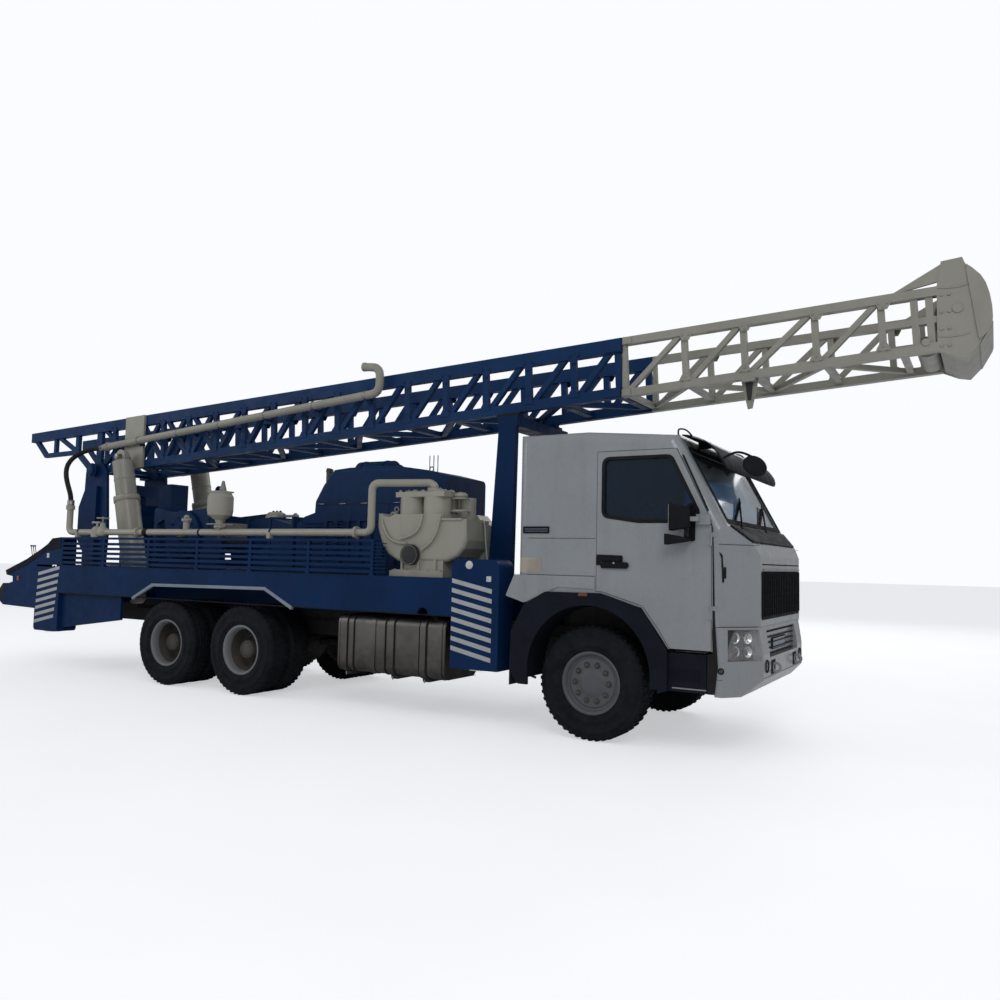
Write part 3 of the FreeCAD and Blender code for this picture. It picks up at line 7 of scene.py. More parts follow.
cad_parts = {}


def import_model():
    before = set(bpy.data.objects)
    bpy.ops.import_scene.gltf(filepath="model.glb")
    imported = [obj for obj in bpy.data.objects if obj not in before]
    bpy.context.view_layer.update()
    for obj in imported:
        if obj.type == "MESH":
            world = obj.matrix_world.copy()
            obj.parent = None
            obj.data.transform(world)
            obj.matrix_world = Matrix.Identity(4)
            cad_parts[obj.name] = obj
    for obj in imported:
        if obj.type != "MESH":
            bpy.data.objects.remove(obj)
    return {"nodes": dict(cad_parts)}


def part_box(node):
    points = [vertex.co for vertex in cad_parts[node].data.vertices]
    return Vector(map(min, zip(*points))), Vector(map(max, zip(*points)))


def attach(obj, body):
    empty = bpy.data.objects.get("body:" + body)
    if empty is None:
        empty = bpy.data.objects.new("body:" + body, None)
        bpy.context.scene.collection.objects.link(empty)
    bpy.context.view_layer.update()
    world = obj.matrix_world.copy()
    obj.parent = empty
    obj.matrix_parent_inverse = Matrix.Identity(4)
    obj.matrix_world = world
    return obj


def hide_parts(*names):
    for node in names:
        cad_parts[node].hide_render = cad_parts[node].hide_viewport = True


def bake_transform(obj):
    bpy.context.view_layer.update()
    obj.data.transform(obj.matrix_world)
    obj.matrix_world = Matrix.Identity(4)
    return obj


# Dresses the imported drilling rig: materials for every carried-over node, finer wheels, pipes, cab trim,
# mast fittings and deck details. Metres. Places are written from the middle of the front axle on the
# ground (x forward, y to the truck's left, z up) and moved to the frame's origin by addPiece().

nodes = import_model()["nodes"]
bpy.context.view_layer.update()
alongX, alongY, alongZ = (1, 0, 0), (0, 1, 0), (0, 0, 1)
mats = {}


def midOf(node):
    low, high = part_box(node)
    return (low + high) / 2


axleX, frontWheelY, tyreR = midOf("front_tyre_left")
midAxleX, rearAxleX = (midOf(place + "_tyres_left").x - axleX for place in ("mid", "rear"))
rearWheelY = midOf("mid_tyres_left").y


# ---- node trees; a feed is a socket to link or a value to set
def addNode(tree, kind, feeds=(), **settings):
    node = tree.nodes.new(kind)
    for label, value in settings.items():
        setattr(node, label, value)
    for label, value in dict(feeds).items():
        if isinstance(value, bpy.types.NodeSocket):
            tree.links.new(value, node.inputs[label])
        else:
            node.inputs[label].default_value = value
    return node


def mathOf(tree, operation, first, second):
    return addNode(tree, "ShaderNodeMath", {0: first, 1: second}, operation=operation).outputs[0]


def startTree(name, **sockets):
    tree = bpy.data.node_groups.new(name, "GeometryNodeTree")
    for label, kind in dict(sockets, Finish="Material").items():
        tree.interface.new_socket(label, in_out="INPUT", socket_type="NodeSocket" + kind)
    tree.interface.new_socket("Geometry", in_out="OUTPUT", socket_type="NodeSocketGeometry")
    return tree, tree.nodes.new("NodeGroupInput").outputs


def endTree(tree, source, given):
    real = addNode(tree, "GeometryNodeRealizeInstances", {"Geometry": source}).outputs["Geometry"]
    paint = addNode(tree, "GeometryNodeSetMaterial", {"Geometry": real, "Material": given["Finish"]})
    addNode(tree, "NodeGroupOutput", {"Geometry": paint.outputs["Geometry"]})
    return tree


def copiesOn(tree, given, points, **more):
    copied = addNode(tree, "GeometryNodeObjectInfo", {"Object": given["Item"]}).outputs["Geometry"]
    feeds = dict(more, Points=points.outputs["Mesh"], Instance=copied)
    return endTree(tree, addNode(tree, "GeometryNodeInstanceOnPoints", feeds).outputs["Instances"], given)


def ringTree():
    tree, given = startTree("ringRepeat", Item="Object", Count="Int", Radius="Float", Step="Float")
    circle = addNode(tree, "GeometryNodeMeshCircle", {"Vertices": given["Count"], "Radius": given["Radius"]})
    turn = mathOf(tree, "MULTIPLY", addNode(tree, "GeometryNodeInputIndex").outputs[0], given["Step"])
    euler = addNode(tree, "ShaderNodeCombineXYZ", {"Z": turn})
    return copiesOn(tree, given, circle, Rotation=euler.outputs[0])


def rowTree():
    tree, given = startTree("rowRepeat", Item="Object", Count="Int", Start="Vector", Step="Vector")
    line = addNode(tree, "GeometryNodeMeshLine", {"Count": given["Count"], "Start Location": given["Start"],
                                                  "Offset": given["Step"]})
    return copiesOn(tree, given, line)


def coilTree():
    tree, given = startTree("ropeCoil", Turns="Float", Radius="Float", Width="Float", Thickness="Float")
    spiral = addNode(tree, "GeometryNodeCurveSpiral", {
        "Resolution": 28, "Rotations": given["Turns"], "Start Radius": given["Radius"],
        "End Radius": given["Radius"], "Height": given["Width"]})
    section = addNode(tree, "GeometryNodeCurvePrimitiveCircle", {"Resolution": 6,
                                                                 "Radius": given["Thickness"]})
    sweep = addNode(tree, "GeometryNodeCurveToMesh", {"Curve": spiral.outputs["Curve"],
                                                      "Profile Curve": section.outputs["Curve"]})
    return endTree(tree, sweep.outputs["Mesh"], given)


trees = {"ring": ringTree(), "row": rowTree(), "coil": coilTree()}


def runTree(kind, finish, **values):
    host = bpy.data.objects.new("host", bpy.data.meshes.new("host"))
    bpy.context.collection.objects.link(host)
    modifier = host.modifiers.new("repeat", "NODES")
    modifier.node_group = trees[kind]
    values["Finish"] = mats[finish]
    for socket in trees[kind].interface.items_tree:
        if socket.in_out == "INPUT":
            modifier[socket.identifier] = values[socket.name]
    view = bpy.context.evaluated_depsgraph_get()
    mesh = bpy.data.meshes.new_from_object(host.evaluated_get(view))
    host.modifiers.clear()
    bpy.data.objects.remove(host)
    return mesh


# ---- one mesh under construction, with a few ways of adding to it
def standing(centre, axis):
    turn = Vector(alongZ).rotation_difference(Vector(axis))
    return Matrix.Translation(centre) @ turn.to_matrix().to_4x4()


class Maker:
    def __init__(self, finish):
        self.bm = bmesh.new()
        self.finishes = []
        self.use(finish)

    def use(self, finish):
        if finish not in self.finishes:
            self.finishes.append(finish)
        self.current = self.finishes.index(finish)
        return self

    def dress(self, faces, smooth):
        for face in faces:
            face.material_index = self.current
            face.smooth = face.smooth or smooth
        return self

    def skin(self, points, faces, smooth=False):
        verts = [self.bm.verts.new(p) for p in points]
        return self.dress([self.bm.faces.new([verts[i] for i in face]) for face in faces], smooth)

    def sweep(self, near, far):
        n = len(near)
        sides = [(i, (i + 1) % n, (i + 1) % n + n, i + n) for i in range(n)]
        return self.skin(near + far, [tuple(range(n))[::-1], tuple(range(n, 2 * n))] + sides)

    def prism(self, outline, y0, y1):
        return self.sweep([(x, y0, z) for x, z in outline], [(x, y1, z) for x, z in outline])

    def plate(self, outline, x0, x1):
        return self.sweep([(x0, y, z) for y, z in outline], [(x1, y, z) for y, z in outline])

    def slab(self, x0, x1, y0, y1, z0, z1):
        return self.prism([(x0, z0), (x1, z0), (x1, z1), (x0, z1)], y0, y1)

    def band(self, outer, inner, y0, y1):
        n = len(outer)
        points = [(x, y, z) for y in (y0, y1) for ring in (outer, inner) for x, z in ring]
        faces = []
        for i in range(n):
            j = (i + 1) % n
            faces += [(i, j, j + n, i + n), (i + 2 * n, i + 3 * n, j + 3 * n, j + 2 * n),
                      (i, i + 2 * n, j + 2 * n, j), (i + n, j + n, j + 3 * n, i + 3 * n)]
        return self.skin(points, faces)

    def mark(self):
        return len(self.bm.verts)

    def place(self, mark, matrix):
        self.bm.verts.ensure_lookup_table()
        for vert in self.bm.verts[mark:]:
            vert.co = matrix @ vert.co
        return self

    def lathe(self, profile, centre, axis=alongY, sides=32, smooth=True, closed=False):
        place = standing(centre, axis)
        angles = [2 * math.pi * i / sides for i in range(sides)]
        rings = []
        for r, h in profile:
            corners = [(r * math.cos(a), r * math.sin(a), h) for a in angles] if r > 1e-6 else [(0, 0, h)]
            rings.append([self.bm.verts.new(place @ Vector(corner)) for corner in corners])
        made = []
        for low, high in list(zip(rings, rings[1:])) + ([(rings[-1], rings[0])] if closed else []):
            for i in range(sides):
                j = (i + 1) % sides
                ring = [low[i % len(low)], low[j % len(low)], high[j % len(high)], high[i % len(high)]]
                corners = list(dict.fromkeys(ring))
                if len(corners) > 2:
                    made.append(self.bm.faces.new(corners))
        return self.dress(made, smooth)

    def hoop(self, r0, r1, half, centre, axis, sides):
        return self.lathe([(r0, -half), (r1, -half), (r1, half), (r0, half)], centre, axis, sides,
                          closed=True)

    def rod(self, start, end, r, sides=16, soft=0.0):
        way = Vector(end) - Vector(start)
        far = way.length
        profile = [(0, 0), (r - soft, 0), (r, soft), (r, far - soft), (r - soft, far), (0, far)]
        return self.lathe(profile if soft else [(0, 0), (r, 0), (r, far), (0, far)], start, way, sides)

    def tube(self, points, r, sides=16):
        curve = bpy.data.curves.new("route", "CURVE")
        curve.dimensions = "3D"
        spline = curve.splines.new("NURBS")
        spline.points.add(len(points) - 1)
        for point, place in zip(spline.points, points):
            point.co = (*place, 1)
        spline.order_u = 3
        spline.use_endpoint_u = True
        spline.resolution_u = 8
        curve.bevel_depth = r
        curve.bevel_resolution = sides // 4 - 1
        curve.use_fill_caps = True
        holder = bpy.data.objects.new("route", curve)
        self.addMesh(bpy.data.meshes.new_from_object(holder), smooth=True)
        bpy.data.objects.remove(holder)
        bpy.data.curves.remove(curve)
        return self

    def ball(self, centre, r, detail=12):
        made = bmesh.ops.create_uvsphere(self.bm, u_segments=detail * 2, v_segments=detail, radius=r,
                                         matrix=Matrix.Translation(centre))
        return self.dress({face for vert in made["verts"] for face in vert.link_faces}, True)

    def addMesh(self, mesh, place=None, smooth=False):
        if place is not None:
            mesh.transform(place)
        before = len(self.bm.faces)
        self.bm.from_mesh(mesh)
        self.bm.faces.ensure_lookup_table()
        bpy.data.meshes.remove(mesh)
        return self.dress(self.bm.faces[before:], smooth)

    def ring(self, part, count, radius, centre, axis, finish):
        mesh = runTree("ring", finish, Item=part, Count=count, Radius=radius, Step=2 * math.pi / count)
        return self.use(finish).addMesh(mesh, standing(centre, axis))

    def row(self, part, count, start, step, finish):
        return self.use(finish).addMesh(runTree("row", finish, Item=part, Count=count, Start=start,
                                                Step=step))

    def bevel(self, width, segments=2):
        sharp = [e for e in self.bm.edges if len(e.link_faces) == 2
                 and e.calc_face_angle(0) > math.radians(35)]
        bmesh.ops.bevel(self.bm, geom=sharp, offset=width, segments=segments, profile=0.6, affect="EDGES",
                        clamp_overlap=True)
        return self

    def mirror(self):
        copy = bmesh.ops.duplicate(self.bm, geom=self.bm.verts[:] + self.bm.edges[:] + self.bm.faces[:])
        verts = [v for v in copy["geom"] if isinstance(v, bmesh.types.BMVert)]
        faces = [f for f in copy["geom"] if isinstance(f, bmesh.types.BMFace)]
        bmesh.ops.scale(self.bm, vec=(1, -1, 1), verts=verts)
        bmesh.ops.reverse_faces(self.bm, faces=faces)
        return self

    def meshOf(self, name):
        mesh = bpy.data.meshes.new(name)
        bmesh.ops.recalc_face_normals(self.bm, faces=self.bm.faces)
        self.bm.to_mesh(mesh)
        self.bm.free()
        return mesh

    def item(self):
        return bpy.data.objects.new("item", self.meshOf("item"))


def rounded(outline, radius, steps=4):
    points = []
    for i, corner in enumerate(outline):
        here = Vector(corner)
        before = (Vector(outline[i - 1]) - here).normalized()
        after = (Vector(outline[(i + 1) % len(outline)]) - here).normalized()
        cut = radius / math.tan(before.angle(after) / 2)
        start, end = here + before * cut, here + after * cut
        for k in range(steps + 1):
            t = k / steps
            points.append(tuple(start.lerp(here, t).lerp(here.lerp(end, t), t)))
    return points


def grown(outline, amount):
    area = sum(a[0] * b[1] - b[0] * a[1] for a, b in zip(outline, outline[1:] + outline[:1]))
    turn = 1 if area > 0 else -1
    points = []
    for i, corner in enumerate(outline):
        way = Vector(outline[(i + 1) % len(outline)]) - Vector(outline[i - 1])
        out = Vector((way.y, -way.x)).normalized() * turn
        points.append(tuple(Vector(corner) + out * amount))
    return points


def oblong(x0, x1, z0, z1, radius=0.01):
    return rounded([(x0, z0), (x1, z0), (x1, z1), (x0, z1)], radius)


def loopLine(x, y, z, r, steps, upright=True):
    angles = [2 * math.pi * i / steps for i in range(steps + 1)]
    if upright:
        return [(x + r * math.sin(a), y, z + r * math.cos(a)) for a in angles]
    return [(x + r * math.sin(a), y + r * math.cos(a), z) for a in angles]


pieceCount = 0


def addPiece(name, maker, body="root", replaces=(), flipY=False):
    global pieceCount
    mesh = maker.meshOf(name)
    if flipY:
        mesh.transform(Matrix.Diagonal((1, -1, 1, 1)))
        mesh.flip_normals()
    mesh.transform(Matrix.Translation((axleX, 0, 0)))
    for finish in maker.finishes:
        mesh.materials.append(mats[finish])
    piece = bpy.data.objects.new(name, mesh)
    bpy.context.collection.objects.link(piece)
    if body:
        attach(piece, body)
    if replaces:
        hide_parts(*replaces)
    pieceCount += 1
    return piece


# ---- materials
def startMaterial(name, colour, roughness, metallic=0.0, **sockets):
    mat = bpy.data.materials.new(name)
    mat.use_nodes = True
    shader = mat.node_tree.nodes["Principled BSDF"]
    sockets.update({"Base Color": (*colour, 1), "Roughness": roughness, "Metallic": metallic})
    for label, value in sockets.items():
        shader.inputs[label.replace("_", " ")].default_value = value
    mats[name] = mat
    return mat.node_tree, shader


def noiseOf(tree, scale, detail=5.0, rough=0.55, stretch=None):
    source = addNode(tree, "ShaderNodeTexCoord").outputs["Object"]
    if stretch:
        source = addNode(tree, "ShaderNodeMapping", {"Scale": stretch, "Vector": source}).outputs["Vector"]
    feeds = {"Scale": scale, "Detail": detail, "Roughness": rough, "Vector": source}
    return addNode(tree, "ShaderNodeTexNoise", feeds).outputs["Fac"]


def rampOf(tree, source, low, high, start=0.35, stop=0.65):
    ramp = addNode(tree, "ShaderNodeValToRGB", {"Fac": source})
    first, last = ramp.color_ramp.elements
    first.position, last.position = start, stop
    first.color, last.color = (*low, 1), (*high, 1)
    return ramp.outputs["Color"]


def shade(colour, factor):
    return tuple(min(1.0, c * factor) for c in colour)


def tintOf(tree, colour, dark, light, *noise):
    return rampOf(tree, noiseOf(tree, *noise), shade(colour, dark), shade(colour, light))


def maskOf(tree, level, start, stop, *noise):
    return rampOf(tree, noiseOf(tree, *noise), (0, 0, 0), (level, level, level), start, stop)


def mixOf(tree, amount, first, second):
    mix = addNode(tree, "ShaderNodeMix", {"Factor": amount, 6: first, 7: (*second, 1)}, data_type="RGBA")
    return mix.outputs[2]


def spanOf(tree, source, low, high, start=0.3, stop=0.7):
    feeds = {"From Min": start, "From Max": stop, "To Min": low, "To Max": high, "Value": source}
    return addNode(tree, "ShaderNodeMapRange", feeds).outputs["Result"]


def colourTo(tree, shader, source):
    tree.links.new(source, shader.inputs["Base Color"])


def roughTo(tree, shader, low, high, *noise):
    tree.links.new(spanOf(tree, noiseOf(tree, *noise), low, high), shader.inputs["Roughness"])


def bumpTo(tree, shader, source, strength, depth):
    bump = addNode(tree, "ShaderNodeBump", {"Strength": strength, "Distance": depth, "Height": source})
    if shader.inputs["Normal"].is_linked:
        tree.links.new(shader.inputs["Normal"].links[0].from_socket, bump.inputs["Normal"])
    tree.links.new(bump.outputs["Normal"], shader.inputs["Normal"])


# Mix factor that rises towards the bottom, broken up by noise: dust in paint() and moulded(), painted shade
# in metal(low=...)
def lowDirtAndShade(tree, top, amount):
    coord = addNode(tree, "ShaderNodeTexCoord").outputs["Object"]
    height = addNode(tree, "ShaderNodeSeparateXYZ", {0: coord}).outputs["Z"]
    return mathOf(tree, "MULTIPLY", spanOf(tree, height, amount, 0.0, 0.2, top), noiseOf(tree, 4.0, 8.0, 0.7))


def paint(name, colour, rough=0.38, dirtTop=1.7, dirt=1.0, vary=0.16, dust=(0.2, 0.17, 0.13), coat=0.25,
          chip=None, gloss=0.4):
    tree, shader = startMaterial(name, colour, rough, Coat_Weight=coat, Coat_Roughness=0.15,
                                 Specular_IOR_Level=gloss)
    base = tintOf(tree, colour, 1 - vary, 1 + vary * 0.6, 1.3, 6.0)
    streak = maskOf(tree, 0.35, 0.5, 0.72, 5.0, 7.0, 0.65, (1.0, 1.0, 0.12))
    base = mixOf(tree, streak, base, shade(colour, 0.62))
    if chip:
        base = mixOf(tree, maskOf(tree, 1, 0.685, 0.7, 22.0, 9.0, 0.72), base, chip)
    colourTo(tree, shader, mixOf(tree, lowDirtAndShade(tree, dirtTop, dirt), base, dust))
    roughTo(tree, shader, rough - 0.08, rough + 0.18, 7.0, 6.0)
    bumpTo(tree, shader, noiseOf(tree, 2.2, 2.0), 0.12, 0.006)
    bumpTo(tree, shader, noiseOf(tree, 160.0, 2.0), 0.05, 0.0006)


def metal(name, colour, rough, streaks=(1.0, 1.0, 1.0), grime=(0.12, 0.1, 0.08), metallic=1.0, low=0.0):
    tree, shader = startMaterial(name, colour, rough, metallic)
    base = tintOf(tree, colour, 0.78, 1.1, 3.0, 7.0)
    base = mixOf(tree, maskOf(tree, 0.7, 0.55, 0.75, 6.0, 9.0, 0.7), base, grime)
    # low: painted shade, the lower part darkened towards near-black
    if low:
        base = mixOf(tree, lowDirtAndShade(tree, 1.05, low), base, (0.05, 0.048, 0.045))
    colourTo(tree, shader, base)
    roughTo(tree, shader, rough - 0.1, rough + 0.2, 14.0, 8.0, 0.7, streaks)
    bumpTo(tree, shader, noiseOf(tree, 90.0, 3.0, 0.5, streaks), 0.08, 0.001)


def moulded(name, colour, rough=0.6, grain=260.0, dustAmount=0.35):
    tree, shader = startMaterial(name, colour, rough, Specular_IOR_Level=0.18)
    base = tintOf(tree, colour, 0.8, 1.25, 2.5, 6.0)
    colourTo(tree, shader, mixOf(tree, lowDirtAndShade(tree, 1.4, dustAmount), base, (0.09, 0.08, 0.07)))
    roughTo(tree, shader, rough - 0.08, rough + 0.15, 9.0, 6.0)
    bumpTo(tree, shader, noiseOf(tree, grain, 3.0), 0.2, 0.0008)


def rubberTyre():
    tree, shader = startMaterial("tyreRubber", (0.011, 0.013, 0.016), 0.7, Specular_IOR_Level=0.15)
    base = rampOf(tree, noiseOf(tree, 5.0, 7.0), (0.007, 0.009, 0.012), (0.014, 0.016, 0.02))
    dusty = maskOf(tree, 0.5, 0.5, 0.75, 11.0, 9.0, 0.75)
    colourTo(tree, shader, mixOf(tree, dusty, base, (0.03, 0.031, 0.032)))
    roughTo(tree, shader, 0.62, 0.9, 18.0)
    bumpTo(tree, shader, noiseOf(tree, 120.0, 4.0), 0.25, 0.001)


def clearGlass(name, colour, rough=0.03, gloss=0.5):
    tree, shader = startMaterial(name, colour, rough, Transmission_Weight=0.92, IOR=1.45,
                                 Specular_IOR_Level=gloss)
    colourTo(tree, shader, tintOf(tree, colour, 0.85, 1.15, 3.0, 8.0, 0.7))
    roughTo(tree, shader, rough, rough + 0.05, 5.0, 7.0)


def waveOf(tree, scale, **settings):
    coord = addNode(tree, "ShaderNodeTexCoord").outputs["Object"]
    return addNode(tree, "ShaderNodeTexWave", {"Scale": scale, "Vector": coord}, **settings)


def wovenCloth(name, colour):
    tree, shader = startMaterial(name, colour, 0.9, Sheen_Weight=0.35)
    weave = []
    for axis in ("X", "Y"):
        wave = waveOf(tree, 90.0, bands_direction=axis)
        wave.inputs["Distortion"].default_value = 0.6
        weave.append(wave.outputs["Fac"])
    colourTo(tree, shader, tintOf(tree, colour, 0.7, 1.3, 8.0, 6.0))
    bumpTo(tree, shader, mathOf(tree, "MAXIMUM", *weave), 0.35, 0.001)


def lensGlass(name, colour, rough=0.15, transmission=0.5):
    tree, shader = startMaterial(name, colour, rough, Transmission_Weight=transmission, Coat_Weight=0.5)
    colourTo(tree, shader, tintOf(tree, colour, 0.8, 1.1, 9.0))
    bumpTo(tree, shader, waveOf(tree, 60.0).outputs["Fac"], 0.3, 0.001)


paint("navyPaint", (0.002, 0.026, 0.1), 0.45, 1.5, 0.16, dust=(0.04, 0.045, 0.055),
      chip=(0.012, 0.025, 0.06), coat=0.0, gloss=0.13)
paint("hoodBlue", (0.004, 0.029, 0.1), 0.42, 1.2, 0.1, coat=0.0, gloss=0.15)
paint("mastBlue", (0.008, 0.042, 0.135), 0.42, 1.0, 0.0, chip=(0.012, 0.03, 0.07), coat=0.0, gloss=0.15)
paint("creamPaint", (0.4, 0.385, 0.33), 0.36, 1.9, 0.35, vary=0.08, chip=(0.3, 0.27, 0.22))
# creamPaintedShade: the cream of creamPaint made darker as painted shade, for the mast head in shadow; worn
# by the crown, the upper mast and the raising rods
paint("creamPaintedShade", (0.36, 0.35, 0.305), 0.38, 1.0, 0.0, vary=0.08, chip=(0.34, 0.3, 0.24))
paint("powerGrey", (0.3, 0.31, 0.31), 0.42, 2.0, 0.4, vary=0.1)
paint("cabPaint", (0.335, 0.36, 0.385), 0.26, 1.5, 0.35, vary=0.05, coat=0.6)
paint("chassisPaint", (0.016, 0.017, 0.02), 0.6, 1.4, 0.7, vary=0.3, dust=(0.08, 0.07, 0.06), coat=0.0,
      chip=(0.06, 0.04, 0.03), gloss=0.25)
paint("wheelPaint", (0.095, 0.11, 0.127), 0.45, 1.0, 0.35, vary=0.12, coat=0.1, chip=(0.12, 0.08, 0.06))
paint("paleRim", (0.2, 0.215, 0.235), 0.45, 1.0, 0.4, vary=0.15, coat=0.1)
# darkPaintAndShade: near-black. It is the dark back of the headlamps, and painted shade deep in the rims, in
# the nut sockets, in the sheave holes, in a pump port and under a mast bracket.
paint("darkPaintAndShade", (0.035, 0.036, 0.04), 0.6, 1.0, 1.0, vary=0.3, coat=0.0)
paint("whiteStripe", (0.5, 0.52, 0.54), 0.4, 1.5, 0.35, vary=0.06, coat=0.2)
paint("trimGrey", (0.27, 0.32, 0.4), 0.4, 1.5, 0.4, vary=0.1)
metal("bareSteel", (0.42, 0.42, 0.43), 0.35)
metal("oldSteel", (0.2, 0.19, 0.18), 0.5, grime=(0.1, 0.06, 0.035))
metal("chromeRod", (0.78, 0.78, 0.8), 0.14, (1.0, 1.0, 0.2), (0.4, 0.4, 0.4))
# low=2.2: painted shade, the tank's lower part darker
metal("tankAlloy", (0.25, 0.235, 0.22), 0.42, (0.3, 1.0, 1.0), (0.17, 0.15, 0.125), low=2.2)
metal("castIron", (0.06, 0.06, 0.062), 0.6, metallic=0.5)
metal("ropeSteel", (0.22, 0.21, 0.2), 0.5, metallic=0.8)
metal("mirrorFace", (0.82, 0.84, 0.86), 0.14, grime=(0.6, 0.6, 0.62))
metal("brassy", (0.55, 0.4, 0.16), 0.35)
moulded("blackPlastic", (0.008, 0.009, 0.012), dustAmount=0.2)
moulded("darkPlastic", (0.005, 0.007, 0.016), dustAmount=0.06)
moulded("sealRubber", (0.014, 0.014, 0.015), 0.7, 180.0, 0.2)
moulded("hoseRubber", (0.02, 0.02, 0.021), 0.55, 140.0, 0.2)
moulded("dashGrey", (0.11, 0.11, 0.115), 0.65, dustAmount=0.0)
moulded("beigePlate", (0.47, 0.43, 0.36), 0.5, dustAmount=0.2)
moulded("paleStrip", (0.3, 0.34, 0.42), 0.35, dustAmount=0.0)
rubberTyre()
clearGlass("tintGlass", (0.6, 0.68, 0.74), gloss=0.15)
clearGlass("doorGlass", (0.03, 0.11, 0.22), gloss=0.08)
clearGlass("lampGlass", (0.86, 0.88, 0.9))
clearGlass("clearCover", (0.95, 0.96, 0.97), 0.02)
wovenCloth("seatCloth", (0.07, 0.075, 0.09))
wovenCloth("bunkCloth", (0.16, 0.12, 0.09))
lensGlass("amberLens", (0.42, 0.13, 0.03))
lensGlass("redLens", (0.55, 0.02, 0.02))
lensGlass("whiteReflector", (0.75, 0.76, 0.75), 0.25, 0.0)
print("materials", len(mats))

# what each finish is worn by; * stands for left and right
wornBy = {
    "cabPaint": "cab_front cab_roof cab_shell door_*", "chassisPaint": "chassis_frame",
    "creamPaintedShade": "crown mast_fittings mast_upper_back mast_upper_sides raise_rod_*",
    "creamPaint": "mud_pump pipework raise_barrel_*", "mastBlue": "mast_lower_back mast_lower_sides",
    "navyPaint": "deck_frame deck_sides jack_housings louvres mast_supports",
    "hoodBlue": "deck_engine deck_machinery", "castIron": "engine_block front_axle rear_axles knuckle_*",
    "blackPlastic": "grille sun_visor door_mirrors_*", "darkPlastic": "fenders", "dashGrey": "dashboard",
    "tankAlloy": "fuel_tank", "chromeRod": "jack_leg_front_* jack_leg_rear_*", "oldSteel": "crown_sheaves",
    "tyreRubber": "front_tyre_* mid_tyres_* rear_tyres_*", "wheelPaint": "front_rim_*",
    "paleRim": "mid_rims_* rear_rims_*", "tintGlass": "windscreen", "doorGlass": "door_glass_*",
    "lampGlass": "lamps", "hoseRubber": "mud_hose", "seatCloth": "seats"}
nodeFinish = {name.replace("*", side): finish for finish, names in wornBy.items()
              for name in names.split() for side in ("left", "right")}
for name, node in nodes.items():
    for place in node.material_slots:
        place.material = mats[nodeFinish[name]]


# ---- camera, light and floor
stage = {"sky": 0.36, "floorGlow": 0.52, "floorReach": 120.0, "white": (0.96, 0.975, 1.0, 1),
         "yaw": 30.21, "pitch": 4.24, "roll": 1.27, "lens": 30.66, "eye": (3.352, -8.688, 1.666)}
softLights = {"softKey": (800, 9, (12, -16, 14), (0, 0, 1.5)),
              "softFill": (350, 10, (-15, -12, 9), (-2, 0, 1.5)),
              "softBack": (500, 10, (2, 17, 12), (0, 0, 2))}


def addObject(name, data):
    thing = bpy.data.objects.new(name, data)
    bpy.context.collection.objects.link(thing)
    return thing


def setCamera():
    yaw, pitch, roll = (math.radians(stage[label]) for label in ("yaw", "pitch", "roll"))
    ahead = Vector((-math.sin(yaw) * math.cos(pitch), math.cos(yaw) * math.cos(pitch), math.sin(pitch)))
    right = Vector((math.cos(yaw), math.sin(yaw), 0))
    up = right.cross(ahead)
    tilted = math.cos(roll) * right + math.sin(roll) * up
    tiltedUp = math.cos(roll) * up - math.sin(roll) * right
    camera = addObject("camera", bpy.data.cameras.new("camera"))
    camera.data.sensor_width = 36
    camera.data.lens = stage["lens"]
    camera.data.clip_end = 400
    turn = Matrix((tilted, tiltedUp, -ahead)).transposed().to_4x4()
    camera.matrix_world = Matrix.Translation(Vector(stage["eye"]) + Vector((axleX, 0, 0))) @ turn
    bpy.context.scene.camera = camera


# The floor and the sky look pale to the camera, and the sky lights the rig more softly than it looks.
def setStage():
    tree, shader = startMaterial("paleFloor", (0.86, 0.87, 0.88), 0.7)
    colourTo(tree, shader, rampOf(tree, noiseOf(tree, 0.6, 6.0), (0.84, 0.85, 0.86), (0.88, 0.89, 0.9)))
    shader.inputs["Emission Color"].default_value = stage["white"]
    seen = addNode(tree, "ShaderNodeLightPath").outputs["Is Camera Ray"]
    tree.links.new(mathOf(tree, "MULTIPLY", seen, stage["floorGlow"]), shader.inputs["Emission Strength"])
    mesh = bpy.data.meshes.new("floor")
    far = stage["floorReach"]
    mesh.from_pydata([(-far, -far, 0), (far, -far, 0), (far, far, 0), (-far, far, 0)], [], [(0, 1, 2, 3)])
    mesh.materials.append(mats["paleFloor"])
    addObject("floor", mesh)

    world = bpy.data.worlds.new("sky")
    bpy.context.scene.world = world
    world.use_nodes = True
    tree = world.node_tree
    back = tree.nodes["Background"]
    back.inputs["Color"].default_value = stage["white"]
    path = addNode(tree, "ShaderNodeLightPath").outputs
    seen = mathOf(tree, "MAXIMUM", path["Is Camera Ray"], path["Is Transmission Ray"])
    tree.links.new(spanOf(tree, seen, stage["sky"], 1.0, 0.0, 1.0), back.inputs["Strength"])
    bpy.context.scene.view_settings.view_transform = "Standard"
    for name, (energy, size, at, aim) in softLights.items():
        light = bpy.data.lights.new(name, "AREA")
        light.energy = energy
        light.size = size
        lamp = addObject(name, light)
        lamp.location = at
        lamp.rotation_euler = (Vector(aim) - Vector(at)).to_track_quat("-Z", "Y").to_euler()


setCamera()
setStage()


# ---- wheels
def hexNut(r, high):
    nut = Maker("wheelPaint")
    nut.lathe([(0, 0), (r, 0), (r, high * 0.7), (r * 0.8, high), (0, high)], (0, 0, 0), alongZ, 6, False)
    return nut.rod((0, 0, high), (0, 0, high * 1.5), r * 0.55, 8).item()


def treadLug(y0, y1, long, high, skew):
    a, b = long / 2, long / 2 * 0.8
    foot = [(0, -a, y0), (0, a, y0), (0, a + skew, y1), (0, -a + skew, y1)]
    crest = [(high, -b, y0 * 0.98), (high, b, y0 * 0.98), (high, b + skew, y1 * 0.97),
             (high, -b + skew, y1 * 0.97)]
    return Maker("tyreRubber").sweep(foot, crest).item()


